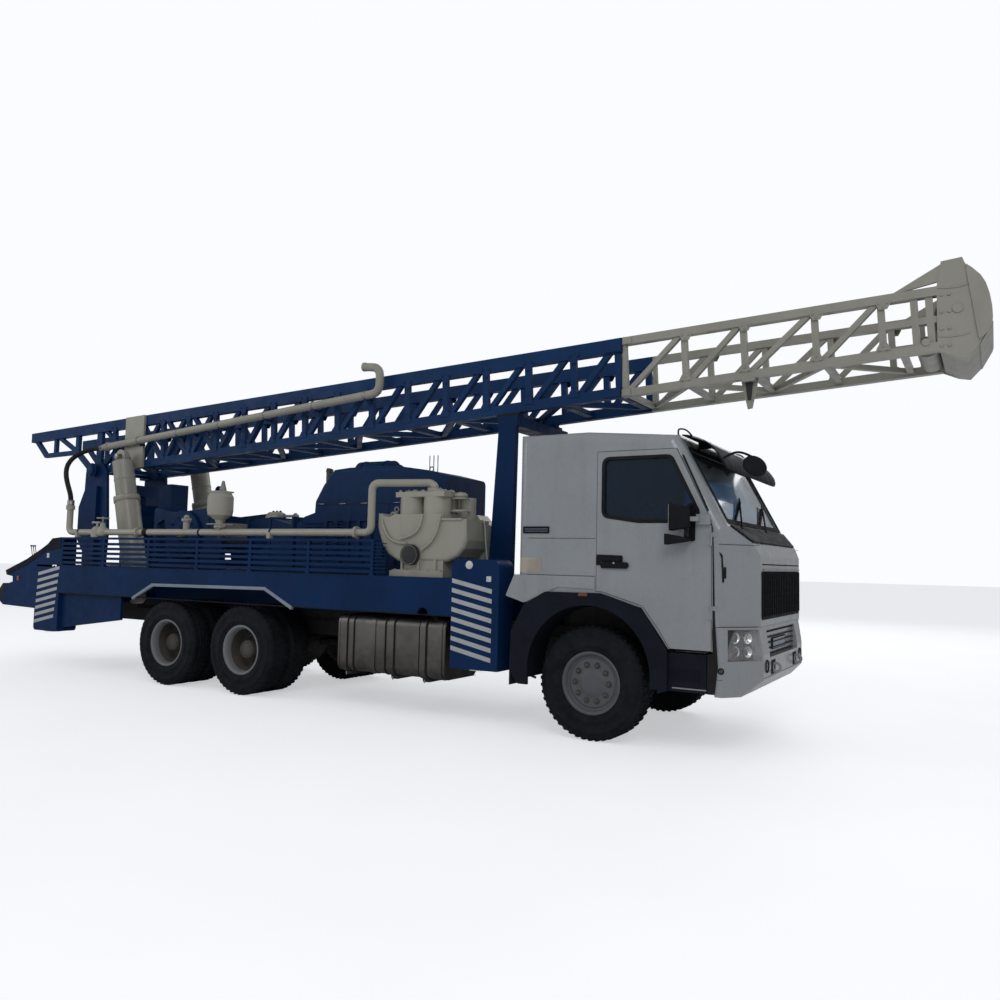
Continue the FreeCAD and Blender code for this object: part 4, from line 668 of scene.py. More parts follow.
beadR = 0.285
tyreWall = [(beadR, 0.105), (beadR + 0.012, 0.122), (0.325, 0.14), (0.35, 0.146), (0.352, 0.149),
            (0.372, 0.15), (0.374, 0.147), (0.42, 0.149), (0.455, 0.148), (0.458, 0.15), (0.47, 0.15),
            (0.473, 0.146), (0.505, 0.139), (0.524, 0.128), (0.533, 0.112), (0.534, 0.06)]
grooves = [(0.535, 0.052), (0.524, 0.049), (0.524, 0.041), (0.536, 0.038), (0.536, 0.006), (0.525, 0.004)]
bolts = {"count": 10, "frontR": 0.175, "twinR": 0.168}


def addTyre(maker, x, y):
    half = tyreWall + grooves
    centre = (x, y, tyreR)
    maker.use("tyreRubber").lathe(half + [(r, -w) for r, w in half[::-1]], centre, sides=72)
    for side in (1, -1):
        outer = treadLug(side * 0.062, side * 0.119, 0.034, 0.01, side * 0.012)
        inner = treadLug(side * 0.01, side * 0.036, 0.03, 0.008, side * -0.01)
        maker.ring(outer, 48, 0.533, centre, alongY, "tyreRubber")
        maker.ring(inner, 56, 0.534, centre, alongY, "tyreRubber")


def frontRim(maker, y):
    centre = (0, y, tyreR)
    maker.lathe([(0.284, 0.1), (0.286, 0.122), (0.3, 0.124), (0.301, 0.131), (0.282, 0.132), (0.268, 0.118),
                 (0.258, 0.094), (0.252, 0.086), (0.24, 0.084), (0.234, 0.092), (0.226, 0.097), (0.216,
                                                                                                 0.098),
                 (0.15, 0.098), (0.13, 0.104), (0.112, 0.116), (0.085, 0.124), (0.045, 0.128), (0.0, 0.129)],
                centre, sides=64)
    # painted shade: the rim's inner barrel and back are near-black
    maker.use("darkPaintAndShade").lathe([(0.256, 0.082), (0.256, -0.124), (0.3, -0.126), (0.3, -0.133),
                                 (0.247, -0.13), (0.115, -0.03), (0.115, -0.058), (0.05,
                                                                                   -0.058)], centre, sides=48)
    # painted shade: dark rings around the wheel nuts stand for the shaded nut recesses
    socket = Maker("darkPaintAndShade").lathe([(0.0, 0.004), (0.02, 0.004), (0.026, 0.008), (0.031, 0.004),
                                      (0.031, 0.0)],
                                     (0, 0, 0), alongZ, 18).item()
    for part, out, finish in ((socket, 0.097, "darkPaintAndShade"), (hexNut(0.017, 0.016), 0.099, "wheelPaint")):
        maker.ring(part, bolts["count"], bolts["frontR"], (0, y + out, tyreR), alongY, finish)


def twinRim(maker, x, outer):
    centre = (x, outer, tyreR)
    maker.lathe([(0.284, 0.1), (0.286, 0.122), (0.3, 0.124), (0.301, 0.132), (0.284, 0.133),
                 (0.268, 0.12), (0.262, 0.09), (0.258, 0.082), (0.256, 0.04)], centre, sides=64)
    # painted shade: inside the outer flange, the barrel, nut disc, hub and the inner rim below are near-black
    maker.use("darkPaintAndShade").lathe([(0.256, 0.04), (0.256, -0.11), (0.24, -0.15), (0.205, -0.158),
                                 (0.12, -0.158), (0.114, -0.15), (0.112, 0.02), (0.1, 0.04),
                                 (0.0, 0.042)], centre, sides=48)
    maker.lathe([(0.258, -0.176), (0.258, -0.47), (0.3, -0.472), (0.3, -0.478), (0.245, -0.478),
                 (0.204, -0.3), (0.204, -0.366), (0.05, -0.37)], centre, sides=40)
    for part, r, out in ((hexNut(0.016, 0.026), bolts["twinR"], -0.158), (hexNut(0.008, 0.01), 0.085, 0.04)):
        maker.ring(part, bolts["count"], r, (x, outer + out, tyreR), alongY, "oldSteel")


twinGap = 0.345
for side in ("left", "right"):
    flip = side == "right"
    tyre = Maker("tyreRubber")
    addTyre(tyre, 0, frontWheelY)
    addPiece("frontTyre_" + side, tyre, "front_wheel_" + side, ["front_tyre_" + side], flip)
    rim = Maker("wheelPaint")
    frontRim(rim, frontWheelY)
    addPiece("frontRim_" + side, rim, "front_wheel_" + side, ["front_rim_" + side], flip)
    for place, x in (("mid", midAxleX), ("rear", rearAxleX)):
        tyre = Maker("tyreRubber")
        addTyre(tyre, x, rearWheelY + twinGap / 2)
        addTyre(tyre, x, rearWheelY - twinGap / 2)
        body = place + "_wheels_" + side
        addPiece(place + "Tyres_" + side, tyre, body, [place + "_tyres_" + side], flip)
        rim = Maker("paleRim")
        twinRim(rim, x, rearWheelY + twinGap / 2)
        addPiece(place + "Rims_" + side, rim, body, [place + "_rims_" + side], flip)
print("wheels", pieceCount)


# ---- cab
cab = {"half": 1.225, "back": -0.79, "round": 0.11, "sweepStart": 1.245, "nose": 1.525, "noseHalf": 0.86,
       "bumperNose": 1.55}
skinY = cab["half"] + 0.0006
sweepWay = Vector((cab["nose"] - cab["sweepStart"], cab["noseHalf"] - cab["half"], 0)).normalized()
sweepOut = Vector((-sweepWay.y, sweepWay.x, 0))
windowEdge = rounded([(0.15, 2.14), (0.5, 2.09), (1.01, 2.09), (1.06, 2.15), (0.8, 2.67),
                      (0.15, 2.67)], 0.055)


def onSweep(start, high, deep):
    corner = Vector((start, cab["half"], high)) + sweepOut * deep
    return Matrix.Translation(corner) @ Matrix((sweepWay, sweepOut, alongZ)).transposed().to_4x4()


def backY(x):
    bend = cab["back"] + cab["round"] - x
    return cab["half"] - (cab["round"] - math.sqrt(max(0.0,
                                                       cab["round"] ** 2 - bend ** 2)) if bend > 0 else 0.0)


def wrapSkin(maker, x0, x1, z0, z1, thick):
    steps = 14
    stops = [x0 + (x1 - x0) * i / steps for i in range(steps + 1)]
    points = [(x, backY(x) + out, z) for x in stops for out, z in
              ((0.0004, z0), (thick, z0), (thick, z1), (0.0004, z1))]
    faces = [(4 * k + i, 4 * k + (i + 1) % 4, 4 * k + 4 + (i + 1) % 4, 4 * k + 4 + i)
             for k in range(steps) for i in range(4)]
    last = 4 * steps
    maker.skin(points, faces + [(0, 1, 2, 3), (last + 3, last + 2, last + 1, last)])


def cabSides():
    trim = Maker("cabPaint")
    flare = [(-0.805, 1.558), (0.066, 1.558), (0.066, 1.44), (-0.32, 1.45), (-0.69, 1.285), (-0.9, 1.345)]
    trim.prism(rounded(flare, 0.012, 2), skinY, cab["half"] + 0.01)
    trim.prism(rounded([(-0.802, 1.555), (-0.7, 1.555), (-0.66, 1.29), (-0.69, 1.288), (-0.896, 1.345)],
                       0.012, 2),
               1.02, skinY)
    trim.bevel(0.003)
    trim.use("sealRubber")
    for z in (1.562, 1.921):
        wrapSkin(trim, -0.775, 0.068, z - 0.0022, z + 0.0022, 0.0016)
    trim.band(oblong(-0.715, -0.425, 1.968, 2.036), oblong(-0.703, -0.437, 1.98, 2.024), skinY, skinY + 0.009)
    trim.use("darkPlastic").slab(-0.705, -0.435, skinY, skinY + 0.002, 1.978, 2.026)
    slat = Maker("darkPlastic").prism([(0, 0), (0.012, 0.001), (0.014, 0.006), (0.002, 0.005)], skinY,
                                      skinY + 0.006)
    trim.row(slat.item(), 15, (-0.699, 0, 2.0), (0.0172, 0, 0), "darkPlastic")
    bar = Maker("trimGrey").slab(-0.128, 0.128, 0, 0.0015, -0.0016, 0.0016)
    trim.row(bar.item(), 3, (-0.57, skinY + 0.005, 1.988), (0, 0, 0.013), "trimGrey")
    trim.use("beigePlate")
    wrapSkin(trim, -0.765, -0.505, 1.578, 1.728, 0.0018)
    trim.use("sealRubber")
    shut = [(1.17, 2.06), (1.186, 2.05), (1.197, 2.02), (1.205, 1.7), (1.214, 1.24), (1.222, 1.1),
            (1.243, 0.8),
            (1.215, 0.56), (1.15, 0.56), (1.15, 0.905), (1.196, 0.915), (1.191, 1.1), (1.197, 1.24),
            (1.194, 1.7), (1.189, 2.03)]
    trim.prism(shut, skinY, skinY + 0.004)
    trim.prism([(0.905, 2.695), (0.932, 2.676), (1.16, 2.176), (1.146, 2.168)], skinY, skinY + 0.005)
    corner = trim.mark()
    trim.prism(rounded([(0.0, 0.27), (0.04, 0.235), (0.058, 0.0), (0.04, -0.01), (0.028, 0.21)], 0.006),
               0.0, 0.006)
    trim.prism(oblong(0.056, 0.078, 0.03, 0.13, 0.008), 0.0, 0.007)
    trim.place(corner, onSweep(1.245, 1.545, 0.0006))
    seam = trim.mark()
    trim.slab(0.0, 0.44, 0.0, 0.0012, -0.002, 0.002)
    trim.place(seam, onSweep(1.247, 1.875, 0.0006))
    trim.mirror()
    addPiece("cabSideTrim", trim)


def doorTrim(side):
    flip = side == "right"
    trim = Maker("sealRubber")
    trim.band(grown(windowEdge, 0.026), grown(windowEdge, -0.006), skinY - 0.022, skinY + 0.004)
    trim.bevel(0.0025)
    trim.use("cabPaint").slab(1.052, 1.176, 1.224, 1.262, 2.048, 2.14)
    trim.slab(0.98, 1.09, 1.25, 1.335, 2.075, 2.115)
    handle = rounded([(0.082, 1.668), (0.345, 1.67), (0.345, 1.762), (0.082, 1.768)], 0.012)
    trim.use("blackPlastic").prism(handle, skinY, skinY + 0.012)
    trim.prism(oblong(0.13, 0.405, 1.64, 1.7, 0.016), 1.2252, 1.2445)
    trim.prism(oblong(0.15, 0.33, 1.712, 1.745, 0.012), skinY + 0.01, skinY + 0.026)
    trim.bevel(0.004)
    trim.use("bareSteel").lathe([(0, 0.014), (0.01, 0.014), (0.012, 0.01), (0.012, 0.0), (0, 0)],
                                (0.262, skinY + 0.01, 1.69), sides=20)
    card = rounded([(0.12, 1.46), (0.52, 1.37), (1.13, 1.37), (1.13, 2.06), (0.12, 2.06)], 0.03)
    trim.use("dashGrey").prism(card, 1.17, 1.184)
    trim.prism(oblong(0.3, 0.92, 1.74, 1.81, 0.03), 1.105, 1.172)
    trim.prism(oblong(0.45, 1.05, 1.42, 1.6, 0.03), 1.125, 1.172)
    trim.use("bareSteel").slab(0.72, 0.86, 1.098, 1.112, 1.84, 1.86)
    addPiece("doorTrim_" + side, trim, "door_" + side, flipY=flip)


def mirrorHead(maker, x0, x1, y0, y1, z0, z1):
    narrow = 0.02
    head = Maker("blackPlastic").sweep([(x0, y0, z0), (x0, y1, z0), (x0, y1, z1), (x0, y0, z1)], [
        (x1, y0 + narrow, z0 + 0.03), (x1, y1 - narrow, z0 + 0.03), (x1, y1 - narrow, z1 - 0.04),
        (x1, y0 + narrow, z1 - 0.04)])
    bmesh.ops.recalc_face_normals(head.bm, faces=head.bm.faces)
    maker.use("blackPlastic").addMesh(head.bevel(0.022, 4).meshOf("head"), smooth=True)
    glass = oblong(y0 + 0.01, y1 - 0.01, z0 + 0.014, z1 - 0.014, 0.012)
    maker.use("mirrorFace").plate(glass, x0 - 0.0015, x0 + 0.001)


def doorMirrors(side):
    maker = Maker("blackPlastic")
    mirrorHead(maker, 0.84, 1.02, 1.29, 1.4, 1.985, 2.24)
    mirrorHead(maker, 0.8, 1.01, 1.29, 1.4, 1.862, 1.965)
    maker.use("blackPlastic").tube([(1.005, 1.224, 2.215), (1.005, 1.262, 2.222), (0.99, 1.31, 2.21),
                                    (0.985, 1.33, 2.15)], 0.013)
    maker.tube([(1.005, 1.224, 1.915), (1.005, 1.262, 1.915), (0.99, 1.3, 1.925), (0.985, 1.33, 1.93)], 0.013)
    maker.tube([(0.985, 1.345, 1.93), (0.992, 1.35, 1.98), (0.985, 1.345, 2.03)], 0.017)
    maker.prism(oblong(0.975, 1.035, 1.9, 2.24, 0.02), 1.2256, 1.24)
    addPiece("doorMirrors_" + side, maker, "door_" + side, ["door_mirrors_" + side],
             side == "right")


screenTop, screenFoot = Vector((0.85, 0, 2.885)), Vector((1.29, 0, 2.06))
screenWay = (screenFoot - screenTop).normalized()
screenOut = Vector((-screenWay.z, 0, screenWay.x))
screenPlace = Matrix.Translation(screenTop) @ Matrix((screenWay, screenOut, alongY)).transposed().to_4x4()
screenSize = (screenFoot - screenTop).length


def screenTrim():
    trim = Maker("sealRubber")
    opening = oblong(0.15, screenSize - 0.04, -1.04, 1.04, 0.02)
    trim.band(grown(opening, 0.034), grown(opening, -0.014), 0.0006, 0.007)
    trim.prism(oblong(0.158, 0.215, -1.03, 1.03, 0.012), -0.011, -0.0095)
    for y in (-0.75, 0.2):
        blade = [(screenSize - 0.31, y + 0.62), (screenSize - 0.3, y + 0.645), (screenSize - 0.055, y + 0.03),
                 (screenSize - 0.065, y + 0.015)]
        trim.prism(blade, -0.01, 0.01)
    trim.place(0, screenPlace)
    addPiece("screenTrim", trim)


def sunVisor():
    profile = [(0.866, 2.893), (0.93, 2.884), (1.0, 2.864), (1.07, 2.832), (1.135, 2.786), (1.185, 2.732),
               (1.222, 2.672), (1.243, 2.612), (1.247, 2.575)]
    half = 1.095
    spread = [-half, -1.085, -1.05, -0.98, -0.8, -0.4, 0, 0.4, 0.8, 0.98, 1.05, 1.085, half]
    visor = Maker("blackPlastic")
    points = []
    for y in spread:
        short = 0.26 * max(0.0, (abs(y) / half - 0.86) / 0.14) ** 2
        for i in range(len(profile)):
            t = i * (1 - short)
            low = min(int(t), len(profile) - 2)
            a, b = profile[low], profile[low + 1]
            points.append((a[0] + (b[0] - a[0]) * (t - low), y, a[1] + (b[1] - a[1]) * (t - low)))
    wide = len(profile)
    for material, rows in (("blackPlastic", (0, 1)), ("paleStrip", (2, 3)), ("blackPlastic", (4, 5, 6, 7))):
        visor.use(material)
        faces = [(k * wide + r, k * wide + r + 1, (k + 1) * wide + r + 1, (k + 1) * wide + r)
                 for k in range(len(spread) - 1) for r in rows]
        visor.skin(points, faces, True)
    bmesh.ops.remove_doubles(visor.bm, verts=visor.bm.verts, dist=0.0005)
    bmesh.ops.recalc_face_normals(visor.bm, faces=visor.bm.faces)
    bmesh.ops.solidify(visor.bm, geom=visor.bm.faces[:], thickness=0.012)
    visor.use("blackPlastic")
    for y in (-0.7, 0.0, 0.7):
        visor.slab(0.9, 1.02, y - 0.012, y + 0.012, 2.8, 2.862)
    for y in (-1.0, 1.0):
        visor.tube([(0.8, y, 2.902), (0.79, y, 2.955), (0.83, y, 2.962), (0.89, y, 2.94), (0.93, y, 2.885)],
                   0.008)
    visor.tube([(1.235, -1.045, 2.66), (1.33, -1.07, 2.71), (1.44, -1.09, 2.695), (1.52, -1.105, 2.645)],
               0.011)
    mirrorAt, mirrorWay = (1.535, -1.12, 2.57), (0.55, -0.68, 0.48)
    visor.lathe([(0.0, 0.03), (0.05, 0.028), (0.092, 0.02), (0.108, 0.006), (0.11, -0.006), (0.104, -0.012)],
                mirrorAt, mirrorWay, 40)
    visor.use("mirrorFace").lathe([(0.103, -0.0125), (0.08, -0.008), (0, -0.006)], mirrorAt, mirrorWay, 40)
    addPiece("sunVisor", visor, replaces=["sun_visor"])


def lampCluster():
    lamp = Maker("darkPaintAndShade")
    start, y0, y1, z0, z1 = 1.302, 0.878, 1.172, 0.853, 1.122
    turn = 1.28

    def outer(y, back=0.0):
        share = (y - cab["noseHalf"]) / (cab["half"] - 0.005 - cab["noseHalf"])
        return cab["bumperNose"] + (turn - cab["bumperNose"]) * share - back
    lamp.skin([(start, y0, z0), (start, y1, z0), (start, y1, z1), (start, y0, z1), (outer(y0, 0.075), y0, z0),
               (outer(y1, 0.012), y1, z0), (outer(y1, 0.012), y1, z1), (outer(y0, 0.115), y0, z1)],
              [(0, 1, 2, 3), (7, 6, 5, 4), (0, 4, 5, 1), (1, 5, 6, 2), (2, 6, 7, 3), (3, 7, 4, 0)])
    aim = (0.8, 0.6, 0)
    for y, z in ((0.945, 1.045), (0.945, 0.925), (1.055, 1.05), (1.055, 0.93)):
        x = outer(y, 0.07)
        lamp.use("mirrorFace").lathe([(0.047, 0.022), (0.044, 0.022), (0.034, 0.004), (0.016, -0.008),
                                      (0.0, -0.01)],
                                     (x, y, z), aim, 28)
        lamp.use("lampGlass").lathe([(0.0, 0.014), (0.01, 0.011), (0.014, 0.0), (0.012, -0.01)], (x, y, z),
                                    aim, 16)
    lamp.use("amberLens").lathe([(0.0, 0.012), (0.022, 0.008), (0.03, 0.0), (0.03, -0.02)],
                                (outer(1.13, 0.03), 1.13, 0.905), (0.7, 0.7, 0), 20)
    lamp.use("clearCover")
    cover = [(outer(y0, 0.004), y0), (outer(y1, 0.004), y1), (outer(y1, 0.008), y1), (outer(y0, 0.008), y0)]
    points = [(x - drop, y, z) for z, drop in ((z0, 0.0), (0.9, 0.0), (z1, 0.04)) for x, y in cover]
    lamp.skin(points, [(0, 1, 2, 3)[::-1], (8, 9, 10, 11)] + [
        (i + 4 * k, (i + 1) % 4 + 4 * k, (i + 1) % 4 + 4 * k + 4, i + 4 * k + 4)
        for k in (0, 1) for i in range(4)])
    lamp.mirror()
    addPiece("headlamps", lamp, replaces=["lamps"])


def noseTrim():
    trim = Maker("bareSteel").slab(1.523, 1.545, -0.78, 0.78, 1.652, 1.668)
    trim.use("sealRubber").plate(oblong(-0.835, 0.835, 1.205, 1.645, 0.03), 1.5245, 1.5275)
    rib = Maker("blackPlastic").slab(1.527, 1.548, -0.006, 0.006, 1.235, 1.635)
    trim.row(rib.item(), 21, (0, -0.76, 0), (0, 0.076, 0), "blackPlastic")
    trim.use("sealRubber").plate(oblong(-0.81, 0.81, 1.7, 1.712, 0.004), 1.5245, 1.5265)
    trim.plate(oblong(-0.29, 0.29, 0.905, 1.015, 0.008), 1.492, 1.5)
    trim.use("trimGrey").plate(oblong(-0.26, 0.26, 0.915, 1.005, 0.008), 1.4995, 1.502)
    bolt = Maker("bareSteel").lathe([(0, 0.004), (0.006, 0.003), (0.008, 0), (0, 0)], (1.502, 0, 0.96),
                                    alongX, 6, False)
    trim.row(bolt.item(), 2, (0, -0.225, 0), (0, 0.45, 0), "bareSteel")
    slat = Maker("blackPlastic").slab(1.494, 1.512, -0.61, 0.61, 0, 0.008)
    trim.row(slat.item(), 5, (0, 0, 0.872), (0, 0, 0.052), "blackPlastic")
    for s in (-1, 1):
        marker, fog = (1.268, s * 1.2212, 0.768), (1.5485, s * 0.74, 0.79)
        trim.use("sealRubber").lathe([(0, 0.002), (0.02, 0.002), (0.026, 0.006), (0.029, 0.0)], marker,
                                     (0, s, 0), 24)
        trim.slab(1.19, 1.281, s * 1.2203 - 0.0008, s * 1.2203 + 0.0008, 0.689, 0.693)
        trim.lathe([(0, 0.002), (0.045, 0.002), (0.056, 0.012), (0.062, 0.0)], fog, alongX, 28)
        trim.use("lampGlass").lathe([(0, 0.006), (0.014, 0.004), (0.019, 0.0)], marker, (0, s, 0), 20)
        trim.lathe([(0, 0.01), (0.03, 0.008), (0.046, 0.002)], fog, alongX, 28)
        trim.use("blackPlastic").slab(1.545, 1.5515, s * 0.48 - 0.09, s * 0.48 + 0.09, 0.7, 0.83)
    trim.use("sealRubber").slab(1.5495, 1.5508, -0.855, 0.855, 0.6895, 0.6935)
    addPiece("noseTrim", trim)


def fenderTrim():
    trim = Maker("amberLens").prism(oblong(-0.085, 0.005, 1.372, 1.402, 0.006), 1.2552, 1.266).bevel(0.002)
    trim.use("bareSteel").slab(0.83, 1.14, 1.2264, 1.229, 0.585, 0.597)
    trim.use("hoseRubber").slab(-0.838, -0.828, 0.93, 1.24, 0.47, 0.66)
    trim.tube([(-0.8, 1.08, 0.6), (-0.7, 1.08, 0.56), (-0.62, 1.08, 0.54)], 0.012)
    step = Maker("darkPlastic").slab(0.0, 0.34, 0.0, 0.006, 0.0, 0.01)
    trim.row(step.item(), 5, (0.74, 1.2264, 0.655), (0.0, 0, 0.024), "darkPlastic")
    tread = Maker("bareSteel").slab(0.7, 1.1, 1.0, 1.012, 0.9004, 0.905)
    trim.row(tread.item(), 9, (0, -0.12, 0), (0, 0.024, 0), "bareSteel")
    trim.mirror()
    addPiece("fenderTrim", trim)


def cushion(maker, x0, x1, y0, y1, z0, z1, channels=0):
    low, high = Vector((x0, y0, z0)), Vector((x1, y1, z1))
    middle, half = (low + high) / 2, (high - low) / 2
    power = 7  # the higher, the squarer the pad
    shape = bmesh.new()
    bmesh.ops.create_cube(shape, size=2)
    bmesh.ops.subdivide_edges(shape, edges=shape.edges, cuts=14, use_grid_fill=True)
    for vert in shape.verts:
        p = vert.co
        reach = (abs(p.x) ** power + abs(p.y) ** power + abs(p.z) ** power) ** (1 / power)
        p = p / reach
        pull = 1 - 0.05 * (1 - p.z * p.z)
        groove = 0.0
        if channels:
            groove = 0.09 * max(0.0, math.cos(p.x * math.pi * channels)) ** 24 * max(0.0, p.z)
        p = Vector((p.x * pull, p.y * pull, p.z * (0.86 + 0.14 * (1 - p.x * p.x) * (1 - p.y * p.y)) - groove))
        vert.co = middle + Vector((p.x * half.x, p.y * half.y, p.z * half.z))
    mesh = bpy.data.meshes.new("pad")
    shape.to_mesh(mesh)
    shape.free()
    maker.addMesh(mesh, smooth=True)


def cabInside():
    pads = Maker("seatCloth")
    base = Maker("blackPlastic")
    for s in (-1, 1):
        y0, y1 = sorted((s * 1.075, s * 0.565))
        cushion(pads, -0.12, 0.38, y0, y1, 1.61, 1.755, 2)
        back = pads.mark()
        cushion(pads, -0.32, 0.32, y0 + 0.01, y1 - 0.01, -0.055, 0.065, 3)
        pads.place(back, Matrix.Translation((-0.075, 0, 2.075)) @ Matrix.Rotation(math.radians(-83), 4, "Y"))
        cushion(pads, -0.185, -0.085, y0 + 0.13, y1 - 0.13, 2.36, 2.415)
        base.slab(-0.06, 0.32, y0 + 0.06, y1 - 0.06, 1.56, 1.625)
        base.slab(0.0, 0.3, y0 + 0.08, y1 - 0.08, 1.322, 1.56)
    base.bevel(0.012)
    cushion(pads, -0.735, -0.205, -1.095, 1.095, 1.65, 1.775, 1)
    piece = addPiece("seatPads", pads, replaces=["seats"])
    base.use("bunkCloth").slab(-0.75, -0.24, -1.09, 1.09, 1.325, 1.648)
    addPiece("seatBases", base)


cabSides()
for side in ("left", "right"):
    doorTrim(side)
    doorMirrors(side)
screenTrim()
sunVisor()
lampCluster()
noseTrim()
fenderTrim()
cabInside()
print("cab", pieceCount)


# ---- deck
deckSide = 1.25
markY = deckSide + 0.0006
stripes = {"count": 8, "step": 0.0986, "thick": 0.046, "rise": 0.1, "frontTop": 1.5, "rearTop": 1.385}


def stripe(maker, back, front, top, rise):
    low = top - stripes["thick"]
    maker.prism([(back, top), (front, top + rise), (front, low + rise), (back, low)], markY, markY + 0.0012)


def deckMarks():
    marks = Maker("whiteStripe")
    for i in range(stripes["count"]):
        drop = i * stripes["step"]
        stripe(marks, -1.532, -1.05, stripes["frontTop"] - drop, -stripes["rise"])
        stripe(marks, -8.77 - i * 0.0058, -8.268 - i * 0.012, stripes["rearTop"] - drop, stripes["rise"])
    marks.use("whiteReflector").lathe([(0, 0.008), (0.03608, 0.008), (0.0418, 0.0064), (0.044, 0), (0, 0)],
                                      (-1.325, markY, 1.64), alongY, 28)
    marks.prism(oblong(-1.115, -1.06, 1.475, 1.53, 0.006), markY, markY + 0.006)
    marks.prism(oblong(-8.58, -8.525, 1.6, 1.668, 0.006), markY, markY + 0.006)
    marks.use("amberLens").prism(oblong(-9.29, -9.245, 1.25, 1.32, 0.006), markY, markY + 0.01)
    edge = [(-6.632, 1.108), (-6.242, 1.3), (-4.198, 1.32), (-3.748, 1.108)]
    low = [(-3.765, 1.072), (-4.208, 1.282), (-6.232, 1.262), (-6.622, 1.074)]
    marks.use("trimGrey").prism(edge + low, 1.222, deckSide + 0.008).bevel(0.0015)
    band = [(-9.6, 1.395), (-9.07, 1.575), (-8.71, 1.733), (-8.575, 1.8), (-8.47, 1.882), (-8.262, 1.9),
            (-8.262, 1.74), (-8.6, 1.7), (-9.06, 1.49), (-9.56, 1.33)]
    marks.use("darkPlastic").prism(band, markY, markY + 0.006)
    pad = rounded([(-9.573, 1.196), (-9.68, 1.202), (-9.806, 1.08), (-9.812, 0.945), (-9.705, 0.924)], 0.02)
    marks.use("hoseRubber").prism(pad, 1.045, 1.236)
    marks.use("sealRubber").slab(-8.262, -2.578, markY, markY + 0.0015, 1.496, 1.502)
    marks.slab(-8.252, -1.545, 1.186, markY, 1.1, 1.109)
    rivet = Maker("navyPaint").lathe([(0, 0.004), (0.006, 0.003), (0.009, 0.0), (0, 0)], (0, markY, 0),
                                     alongY, 8)
    marks.row(rivet.item(), 38, (-8.18, 0, 1.475), (0.15, 0, 0), "navyPaint")
    marks.mirror()
    addPiece("deckMarks", marks)


def tailDetails():
    tail = Maker("navyPaint")
    for y in (-0.86, 0.86):
        tail.use("redLens").plate(oblong(y - 0.13, y + 0.13, 0.93, 1.03, 0.01), -9.722, -9.701)
        tail.use("amberLens").plate(oblong(y - 0.13, y - 0.05, 0.936, 1.024, 0.006), -9.7245, -9.721)
    tail.use("trimGrey").plate(oblong(-0.26, 0.26, 0.925, 1.035, 0.008), -9.706, -9.701)
    for y in (-1.16, -1.13, -1.1, 1.1, 1.13, 1.16):
        x = -9.02 - abs(y) * 0.05
        tail.use("bareSteel").rod((x, y, 1.56), (x - 0.06, y, 1.76), 0.006, 10)
        tail.use("blackPlastic").ball((x - 0.063, y, 1.77), 0.014, detail=8)
        tail.use("navyPaint").slab(x - 0.035, x + 0.035, y - 0.012, y + 0.012, 1.515, 1.59)
    for y in (-1.125, 1.125):
        tail.slab(-9.14, -8.98, y - 0.095, y + 0.095, 1.5, 1.545)
    for z in (0.62, 0.86, 1.1):
        tail.rod((-9.3, -0.52, z), (-9.3, -0.22, z), 0.014, 10)
    for y in (-0.52, -0.22):
        tail.rod((-9.3, y, 0.58), (-9.3, y, 1.26), 0.016, 10)
        tail.slab(-9.62, -9.29, y - 0.012, y + 0.012, 0.955, 1.0)
    addPiece("tailDetails", tail)


def louvreDetails():
    louvre = Maker("navyPaint")
    foot = Maker("navyPaint").prism([(0, 0), (0.07, 0), (0.055, 0.045), (0.015, 0.045)], 1.206, 1.2525)
    louvre.row(foot.item(), 7, (-8.275, 0, 1.5), (0.94, 0, 0), "navyPaint")
    brace = Maker("navyPaint").slab(0.0, 0.04, 1.1, 1.212, 0.0, 0.012)
    louvre.row(brace.item(), 7, (-8.26, 0, 1.88), (0.94, 0, 0), "navyPaint")
    slim = Maker("navyPaint").slab(-2.575, -2.42, 1.222, 1.246, 0, 0.01)
    louvre.row(slim.item(), 9, (0, 0, 1.535), (0, 0, 0.039), "navyPaint")
    louvre.mirror()
    addPiece("louvreDetails", louvre)


# ---- mud pump
def boltCircle(maker, count, radius, centre, axis, size, finish="creamPaint"):
    maker.ring(hexNut(size, size * 0.8), count, radius, centre, axis, finish)


def flange(maker, centre, axis, r, thick, count=8, finish="creamPaint", size=0.011):
    half = Vector(axis).normalized() * thick / 2
    start, end = Vector(centre) - half, Vector(centre) + half
    maker.use(finish).rod(start, end, r, 32, 0.003)
    boltCircle(maker, count, r * 0.8, end, axis, size, finish)
    boltCircle(maker, count, r * 0.8, start, -Vector(axis), size, finish)


